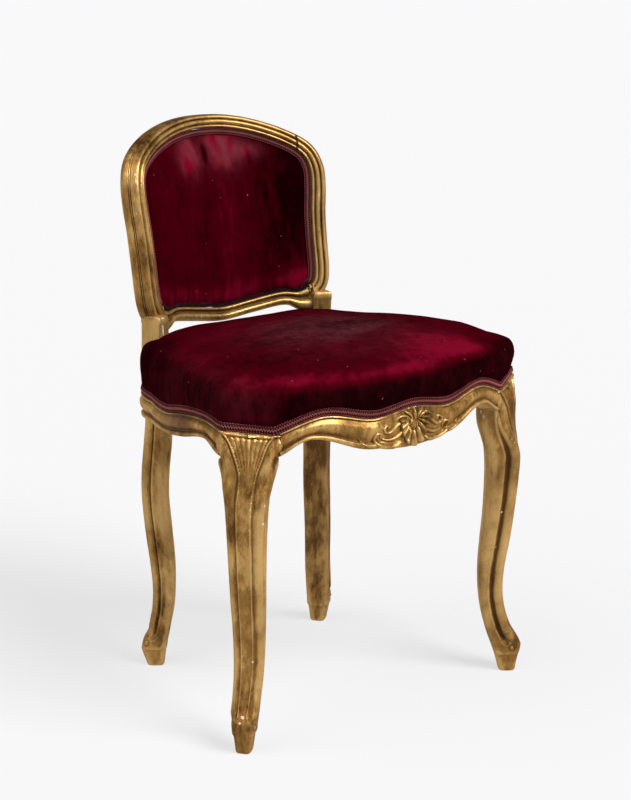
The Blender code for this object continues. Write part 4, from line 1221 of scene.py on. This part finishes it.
def braid(line, outward, up, width, pitch, thick):
    """Gimp: a plait of three strands between two thin cords, on a woven strip.
    Also how high each point lies in the plait, from -1 to 1."""
    length = np.linalg.norm(np.roll(line, -1, axis=0) - line, axis=1)
    total = length.sum()
    where = np.concatenate(([0.0], np.cumsum(length)))

    def sampled(count):
        at = np.linspace(0.0, total, count, endpoint=False)
        closed = [np.concatenate((a, a[:1])) for a in (line, outward, up)]
        return [at] + [np.stack([np.interp(at, where, c) for c in a.T], axis=1) for a in closed]

    turns = round(total / pitch)
    at, middle, out, rise = sampled(turns * 10)
    bodies, lies = [], []
    for strand in range(3):
        phase = 2 * math.pi * (at / total * turns + strand / 3)
        sway, over = np.sin(phase) * width * 0.27, (0.55 + 0.35 * np.cos(2 * phase)) * thick
        bodies.append(tube(middle + rise * sway[:, None] + out * over[:, None], out, rise, width * 0.12, 5))
        lies.append(np.repeat(np.cos(2 * phase), 5))
    at, middle, out, rise = sampled(round(total / 0.0011))
    for side in (-1.0, 1.0):
        twist = np.sin(2 * math.pi * at / 0.0033)
        place = middle + rise * (side * width * 0.43) + out * (thick * (0.45 + 0.045 * twist))[:, None]
        bodies.append(tube(place, out, rise, width * 0.075, 6))
        lies.append(np.repeat(twist, 6))
    corners = ((-1, -0.5), (-1, 0.15), (1, 0.15), (1, -0.5))
    strip = [middle + rise * (side * width * 0.47) + out * (over * thick) for side, over in corners]
    bodies.append(loft(np.stack(strip, axis=1), loop=True))
    lies.append(np.full(4 * len(at), -1.0))
    return joined(*bodies), np.concatenate(lies)


def make_gimps(material):
    path = seat_path(0.0020)
    outward = np.concatenate((path_outward(path), np.zeros((len(path), 1))), axis=1)
    up = unit(np.cross(outward, unit(steps_round(path))))
    up *= np.sign(up[:, 2:])
    middle = path + up * (GIMP_HIGH / 2 + 0.0008) - outward * 0.0010
    body, lies = braid(middle, outward, up, GIMP_HIGH, GIMP_PITCH, 0.0013)
    item = build("seat_gimp_braid", body, material)
    set_values(item.data, "relief", lies)
    finish_piece(item, "gimp_braid", "seat_gimp")

    flat = inset_sight(BACK_GIMP / 2 + 0.0004, 0.0020)
    normal = back_normals(flat[:, 0])
    for name, w, facing, nodes in (("back_gimp_braid", 0.0012, 1.0, ("back_gimp",)),
                                   ("outside_back_gimp_braid", -0.0208, -1.0, ())):
        middle = back_points(flat, w)
        rise = np.cross(unit(steps_round(middle)), normal)
        body, lies = braid(middle, normal * facing, rise, BACK_GIMP, GIMP_PITCH, 0.0010)
        item = build(name, body, material)
        # Painted shadow: the lowest stretch, under the sagging pad, is given the colour of the plait's
        # deepest hollows
        shadowed_stretch = smoothstep(0.503, 0.496, coordinates(item.data)[:, 2]) * (facing > 0)
        set_values(item.data, "relief", lies - (1.0 + lies) * shadowed_stretch)
        finish_piece(item, "gimp_braid", *nodes)


# ---------------------------------------------------------------- hessian under the seat
def make_hessian(material):
    clear = RAIL_THICK + 0.0006
    half = [(0.0, front_y(0.0) + clear), (0.06, front_y(0.06) + clear), (0.12, front_y(0.12) + clear + 0.002),
            (0.172, 0.014), (0.188, 0.050)]
    half += [(side_x(y) - clear - 0.002, y) for y in (0.08, 0.12, 0.16, 0.20, 0.24)]
    half += [(0.110, 0.290), (0.100, 0.2985), (0.05, 0.2985), (0.0, 0.2985)]
    outline = evenly(both_sides(np.array(half)), 0.008, closed=True)
    rings = []
    for side, thick in ((1.0, 0.0), (-1.0, 0.0008)):
        layer = []
        for share in np.linspace(0.02, 1.0, 26):
            flat = SEAT_MIDDLE + (outline - SEAT_MIDDLE) * share
            sag = 0.007 * (1.0 - share ** 2)
            z = CLOTH_Z - SEAT_SLOPE * flat[:, 1] - sag - thick
            layer.append(np.concatenate((flat, z[:, None]), axis=1))
        rings += layer if side > 0 else layer[::-1]
    item = build("seat_hessian", loft(rings), material)
    return finish_piece(item, "hessian", "seat_bottom_cloth")


# ---------------------------------------------------------------- materials
class Nodes:
    """A material being put together: nodes and links on one Principled shader."""

    def __init__(self, name):
        self.material = bpy.data.materials.new(name)
        self.material.use_nodes = True
        self.tree = self.material.node_tree
        self.shader = self.tree.nodes["Principled BSDF"]
        self.place = self.add("ShaderNodeTexCoord").outputs["Object"]

    def add(self, kind, **inputs):
        node = self.tree.nodes.new(kind)
        for key, value in inputs.items():
            self.give(node.inputs[key.replace("_", " ")], value)
        return node

    def give(self, socket, value):
        if isinstance(value, bpy.types.NodeSocket):
            self.tree.links.new(value, socket)
        else:
            socket.default_value = value

    def attribute(self, name):
        node = self.add("ShaderNodeAttribute")
        node.attribute_name = name
        return node.outputs["Fac"]

    def stretched(self, scale):
        node = self.add("ShaderNodeMapping", Vector=self.place)
        node.inputs["Scale"].default_value = scale
        return node.outputs["Vector"]

    def noise(self, scale, detail=2.0, where=None, roughness=0.5):
        node = self.add("ShaderNodeTexNoise", Scale=scale, Detail=detail, Roughness=roughness)
        self.tree.links.new(where or self.place, node.inputs["Vector"])
        return node.outputs["Fac"]

    def math(self, operation, a, b=0.0, clamp=False):
        node = self.tree.nodes.new("ShaderNodeMath")
        node.operation = operation
        node.use_clamp = clamp
        self.give(node.inputs[0], a)
        self.give(node.inputs[1], b)
        return node.outputs[0]

    def plus(self, a, b):
        return self.math("ADD", a, b)

    def minus(self, a, b):
        return self.math("SUBTRACT", a, b)

    def times(self, a, b):
        return self.math("MULTIPLY", a, b)

    def swayed(self, value, by, amount):
        """The value moved up and down by a noise that runs from 0 to 1."""
        return self.plus(value, self.times(self.minus(by, 0.5), amount))

    def between(self, value, low, high, to_low=0.0, to_high=1.0):
        """The value's smooth way from low to high, as a number from to_low to to_high."""
        node = self.add("ShaderNodeMapRange", Value=value)
        node.interpolation_type = "SMOOTHSTEP"
        for socket, number in zip(("From Min", "From Max", "To Min", "To Max"), (low, high, to_low, to_high)):
            node.inputs[socket].default_value = number
        return node.outputs["Result"]

    def mix(self, share, a, b):
        node = self.tree.nodes.new("ShaderNodeMix")
        node.data_type = "RGBA"
        self.give(node.inputs[0], share)
        self.give(node.inputs[6], a)
        self.give(node.inputs[7], b)
        return node.outputs[2]

    def bump(self, height, distance, strength=1.0, below=None):
        node = self.add("ShaderNodeBump", Height=height, Distance=distance, Strength=strength)
        if below is not None:
            self.tree.links.new(below, node.inputs["Normal"])
        return node.outputs["Normal"]

    def out(self, **inputs):
        for key, value in inputs.items():
            self.give(self.shader.inputs[key.replace("_", " ")], value)
        return self.material


def gilt_material():
    """Worn gilding: edges brighter with burnishing and painted highlight, brown dirt in the hollows, ochre
    bole, white gesso at the chips, and stains mixed with painted shade and painted light.
    """
    n = Nodes("gilt_wood")
    relief, chipped, stain_and_shading = n.attribute("relief"), n.attribute("chipped"), n.attribute("stain_and_shading")
    drawn = n.stretched((1.0, 1.0, 0.4))
    broad, blotch = n.noise(13.0, 3.0), n.noise(48.0, 5.0, drawn, 0.62)
    mottle, speck = n.noise(190.0, 5.0, drawn, 0.7), n.noise(330.0, 3.0, roughness=0.7)
    grit = n.noise(700.0, 2.0)
    level = n.plus(blotch, n.times(mottle, 0.8))
    level = n.plus(n.minus(level, 0.90), n.times(broad, 1.0))
    # Raised carving a little lighter; stains, painted shade and painted light darken or lighten the gold
    level = n.plus(level, n.times(relief, 0.06))
    level = n.minus(level, n.times(stain_and_shading, 0.18))
    gold = n.mix(n.between(level, 0.18, 0.50), (0.085, 0.038, 0.010, 1), (0.230, 0.118, 0.031, 1))
    gold = n.mix(n.between(level, 0.46, 0.80), gold, (0.44, 0.262, 0.086, 1))
    bole = n.times(n.between(n.noise(30.0, 4.0), 0.55, 0.72), n.between(mottle, 0.40, 0.60))
    gold = n.mix(n.times(bole, 0.8), gold, (0.215, 0.070, 0.010, 1))
    # Edges brighter: partly burnished and rubbed gilding, partly painted highlight
    edge = n.swayed(n.swayed(relief, blotch, 1.4), broad, 1.4)
    edge = n.between(n.minus(edge, n.times(stain_and_shading, 0.42)), 0.25, 1.30)
    gold = n.mix(n.times(edge, 0.66), gold, (0.50, 0.315, 0.118, 1))
    hollow = n.minus(n.times(n.minus(broad, 0.5), 0.5), relief)
    dirt = n.between(n.swayed(hollow, blotch, 0.9), 0.42, 1.10)
    colour = n.mix(n.times(dirt, 0.85), gold, (0.034, 0.015, 0.005, 1))
    rubbed = n.times(n.between(speck, 0.655, 0.70), n.between(relief, -0.1, 0.5))
    colour = n.mix(n.times(n.between(speck, 0.345, 0.30), 0.75), colour, (0.045, 0.022, 0.010, 1))
    gesso = n.math("MAXIMUM", n.between(chipped, 0.35, 0.6), n.times(rubbed, 0.55), clamp=True)
    gesso_colour = n.mix(n.between(grit, 0.35, 0.65), (0.62, 0.55, 0.42, 1), (0.40, 0.31, 0.20, 1))
    colour = n.mix(gesso, colour, gesso_colour)
    bare = n.math("MAXIMUM", gesso, n.times(dirt, 0.75), clamp=True)
    metallic = n.between(bare, 0.0, 0.9, 0.62, 0.0)
    rough = n.plus(n.between(mottle, 0.35, 0.65, 0.26, 0.46), n.times(bare, 0.22))
    fine = n.bump(mottle, 0.00050, 0.5)
    fine = n.bump(grit, 0.00012, 0.45, below=fine)
    return n.out(Base_Color=colour, Metallic=metallic, Roughness=rough, Normal=fine,
                 Specular_IOR_Level=0.2, Specular_Tint=(0.72, 0.50, 0.26, 1))


def velvet_material():
    n = Nodes("crimson_velvet")
    nap_and_sheen, rubbed = n.attribute("nap_and_sheen"), n.attribute("rubbed")
    pile = n.noise(520.0, 3.0, roughness=0.7)
    drift = n.noise(38.0, 3.0, roughness=0.6)
    brushed = n.minus(n.noise(110.0, 3.0, n.stretched((1.0, 1.0, 0.28)), 0.6), 0.5)
    # The nap value, with its painted sheen and shade, and the nap's drift and streaks set the crimson from
    # dark to bright
    level = n.swayed(nap_and_sheen, drift, 0.35)
    level = n.plus(level, n.times(brushed, 0.40))
    colour = n.mix(n.between(level, 0.08, 0.55), (0.0050, 0.0001, 0.0004, 1), (0.034, 0.0001, 0.0022, 1))
    colour = n.mix(n.between(level, 0.50, 1.0), colour, (0.110, 0.0015, 0.010, 1))
    # Rubbed pile turns greyish pink; on the seat's left side and lower wall this is painted sheen
    worn = n.times(rubbed, n.between(n.plus(drift, brushed), 0.20, 0.75, 0.35, 1.0))
    colour = n.mix(n.times(worn, 0.80), colour, (0.095, 0.026, 0.032, 1))
    lint = n.between(n.noise(190.0, 1.0), 0.785, 0.80)
    colour = n.mix(n.times(lint, 0.5), colour, (0.22, 0.09, 0.10, 1))
    normal = n.bump(n.noise(90.0, 3.0), 0.0006, 0.35)
    normal = n.bump(pile, 0.0004, 0.6, below=normal)
    return n.out(Base_Color=colour, Roughness=0.9, Normal=normal, Specular_IOR_Level=0.0,
                 Sheen_Weight=0.06, Sheen_Roughness=0.35, Sheen_Tint=(0.55, 0.02, 0.07, 1))


def gimp_material():
    n = Nodes("gimp_braid")
    relief = n.attribute("relief")
    thread, patch = n.noise(900.0, 2.0), n.noise(55.0, 3.0)
    colour = n.mix(n.between(patch, 0.35, 0.65), (0.055, 0.006, 0.008, 1), (0.095, 0.017, 0.016, 1))
    # Painted highlight on the strands that lie highest in the plait
    colour = n.mix(n.between(relief, 0.0, 1.0, 0.0, 0.75), colour, (0.27, 0.075, 0.068, 1))
    # Painted shade in the hollows between the strands, on the strip beneath them and on the stretch under the
    # back pad
    colour = n.mix(n.between(relief, 0.2, -0.9, 0.0, 0.95), colour, (0.010, 0.001, 0.002, 1))
    colour = n.mix(n.between(thread, 0.58, 0.75, 0.0, 0.4), colour, (0.20, 0.090, 0.080, 1))
    fine = n.bump(thread, 0.0003, 0.7)
    return n.out(Base_Color=colour, Roughness=0.85, Normal=fine, Specular_IOR_Level=0.1)


def hessian_material():
    n = Nodes("hessian")
    waves = []
    for direction in ("X", "Y"):
        wave = n.add("ShaderNodeTexWave", Vector=n.place, Scale=170.0, Distortion=1.5, Detail=1.0)
        wave.bands_direction = direction
        waves.append(wave.outputs["Fac"])
    weave = n.times(waves[0], waves[1])
    tone = n.noise(30.0, 3.0)
    colour = n.mix(n.between(tone, 0.35, 0.65), (0.27, 0.195, 0.115, 1), (0.38, 0.29, 0.18, 1))
    colour = n.mix(n.between(weave, 0.25, 0.0, 0.0, 0.75), colour, (0.07, 0.045, 0.025, 1))
    return n.out(Base_Color=colour, Roughness=0.95, Normal=n.bump(weave, 0.0006, 0.8))


# ---------------------------------------------------------------- stage
CAMERA_PLACE = (-1.6645, -2.08856, 1.0631)
CAMERA_LENS = 93.87
CAMERA_TURNS = ((-39.02, "Z"), (90.0 - 14.40, "X"), (0.5, "Z"))    # heading, look down and roll


def add_sun(name, towards, strength, softness):
    """Broad soft light that comes from one side of the studio; softness is the angle it fills."""
    data = bpy.data.lights.new(name, "SUN")
    data.energy = strength
    data.angle = math.radians(softness)
    item = bpy.data.objects.new(name, data)
    x, y, z = towards
    item.rotation_euler = (math.atan2(math.hypot(x, y), z), 0.0, math.atan2(x, -y))
    bpy.context.collection.objects.link(item)


def stage():
    """Pale floor with a low pale wall far behind, soft studio light and the camera."""
    mesh = bpy.data.meshes.new("floor")
    sides, reach, high = 96, 60.0, 12.0
    turns = [2 * math.pi * k / sides for k in range(sides)]
    rim = [(reach * math.cos(a), reach * math.sin(a), z) for z in (0.0, high) for a in turns]
    wall = [(k, (k + 1) % sides, sides + (k + 1) % sides, sides + k) for k in range(sides)]
    mesh.from_pydata(rim, [], [list(range(sides))] + wall)
    n = Nodes("pale_floor")
    mesh.materials.append(n.out(Base_Color=(0.16, 0.16, 0.16, 1), Roughness=0.9, Specular_IOR_Level=0.2,
                                Emission_Color=(0.99, 0.985, 1.0, 1), Emission_Strength=0.665))
    floor = bpy.data.objects.new("floor", mesh)
    bpy.context.collection.objects.link(floor)

    world = bpy.data.worlds.new("studio")
    bpy.context.scene.world = world
    world.use_nodes = True
    background = world.node_tree.nodes["Background"]
    background.inputs["Color"].default_value = (0.98, 0.98, 1.0, 1)
    background.inputs["Strength"].default_value = 0.12
    add_sun("key", (0.30, -0.95, 1.00), 4.8, 34.0)
    add_sun("fill", (-0.85, 0.10, 1.1), 1.9, 60.0)

    data = bpy.data.cameras.new("camera")
    data.lens = CAMERA_LENS
    data.sensor_width = 36.0
    camera = bpy.data.objects.new("camera", data)
    camera.matrix_world = Matrix.Translation(CAMERA_PLACE)
    for degrees, axis in CAMERA_TURNS:
        camera.matrix_world = camera.matrix_world @ Matrix.Rotation(math.radians(degrees), 4, axis)
    bpy.context.collection.objects.link(camera)
    bpy.context.scene.camera = camera
    bpy.context.scene.view_settings.view_transform = "Standard"


# ---------------------------------------------------------------- the chair
# Where the gilding is darkened, and, below nought, where it is paler: real stains and rubbing from smoke and
# hands, with painted shade where the seat overhangs the back legs and side rails and on the left front leg's
# outer flank, and painted light on the front rail and the left stile: x, y, z and radius in mm, and strength
STAINS_AND_SHADING = (
    (138, 295, 250, 130, 1.2), (138, 295, 130, 55, 0.7), (140, 300, 455, 50, 1.0),
    (-215, -5, 380, 36, 0.5), (-250, 30, 290, 40, 0.6), (-250, 30, 200, 40, 0.6),
    (-222, 0, 12, 60, 1.0), (-240, 150, 380, 90, 0.6), (-150, 300, 300, 60, 1.0),
    (-158, 300, 180, 50, 1.0), (222, 10, 50, 50, 1.0), (225, -10, 380, 35, 1.0),
    (100, 330, 480, 50, 0.8), (-110, 330, 470, 45, 0.5), (0, 340, 735, 120, 0.5),
    (-229, -20, 310, 40, -0.9), (-232, -20, 250, 50, -0.9), (-233, -20, 180, 50, -0.9),
    (-110, -45, 405, 75, -0.7), (-160, 315, 660, 35, -0.7))
# Where the gesso is chipped: x, y, z and radius in mm
LEFT_LEG_CHIPS = mm((-208, -26, 319, 1.3), (-208, -26, 296, 2), (-224, -12, 116, 1.5),
                    (-222, -14, 347, 0.8), (-223, -13, 331, 0.8), (-223, -13, 323, 0.9),
                    (-224, -13, 316, 0.9), (-223, -13, 307, 0.8), (-224, -12, 289, 0.7),
                    (-230, -8, 47, 2.6), (-232, -6, 39, 1.8), (-226, -9, 406, 1.3),
                    (-220, -13, 405, 1.6), (-214, -18, 404, 1.3), (-209, -22, 403, 1))
RIGHT_LEG_CHIPS = mm((180, 18, 365, 2.2), (190, 10, 360, 3), (203, -1, 337, 1), (204, -1, 229, 1),
                     (197, 5, 181, 0.9))
LEFT_STILE_CHIPS = mm((-164, 312, 680, 1.7), (-161, 310, 670, 1), (-140, 293, 475, 1.2),
                      (-138, 290, 466, 1.5), (-139, 292, 486, 1), (-164, 312, 622, 0.7))
RIGHT_STILE_CHIPS = mm((143, 307, 621, 0.9))
CREST_CHIPS = mm((-41, 406, 723, 2.2), (-36, 401, 727, 1.3))
LOWER_RAIL_CHIPS = mm((-42, 317, 468, 1.1))
FRONT_RAIL_CHIPS = mm((-125, -37, 416, 2.2), (-117, -39, 418, 1.2), (-9, -55, 419, 1.2),
                      (3, -55, 419, 1.4), (18, -55, 411, 1.2), (8, -55, 391, 0.9))


def gilded(name, body, material, chips, seed, *nodes, flush=0, cracked=slice(0)):
    item = build(name, body, material, sharp=55.0)
    weather(item, chips, seed)
    mark_relief(item, flush, cracked)
    return finish_piece(item, "gilt_wood", *nodes)


def back_leg(skewed):
    """The back leg of the right side, in one piece with its block and the stile."""
    return joined(loft(back_leg_rings()), rail_return(), loft(block_rings()), stile(skewed))


def main():
    gilt, velvet = gilt_material(), velvet_material()
    right_leg = front_leg()
    gilded("front_leg_right_gilt", right_leg, gilt, RIGHT_LEG_CHIPS, 1.0, "leg_front_right")
    gilded("front_leg_left_gilt", flipped(right_leg), gilt, LEFT_LEG_CHIPS, 17.0, "leg_front_left")
    section = len(profile_points(STILE_MOULD))
    gilded("back_leg_right_gilt", back_leg(1.0), gilt, RIGHT_STILE_CHIPS, 59.0, "leg_back_right",
           cracked=slice(-2 * section, None))
    gilded("back_leg_left_gilt", flipped(back_leg(0.0)), gilt, LEFT_STILE_CHIPS, 59.0, "leg_back_left",
           flush=section)
    gilded("front_rail_gilt", front_rail(), gilt, FRONT_RAIL_CHIPS, 37.0, "seat_rail_front")
    gilded("side_rail_right_gilt", side_rail(), gilt, (), 43.0, "seat_rail_right")
    gilded("side_rail_left_gilt", flipped(side_rail()), gilt, (), 47.0, "seat_rail_left")
    gilded("back_rail_gilt", back_rail(), gilt, (), 53.0, "seat_rail_back")
    gilded("crest_rail_gilt", crest(), gilt, CREST_CHIPS, 59.0, "back_crest_rail", flush=section,
           cracked=slice(2 * section))
    gilded("lower_rail_gilt", lower_rail(), gilt, LOWER_RAIL_CHIPS, 61.0, "back_lower_rail")
    make_seat(velvet)
    make_back(velvet)
    make_outside_back(velvet)
    make_gimps(gimp_material())
    make_hessian(hessian_material())


stage()
main()
bpy.context.view_layer.update()
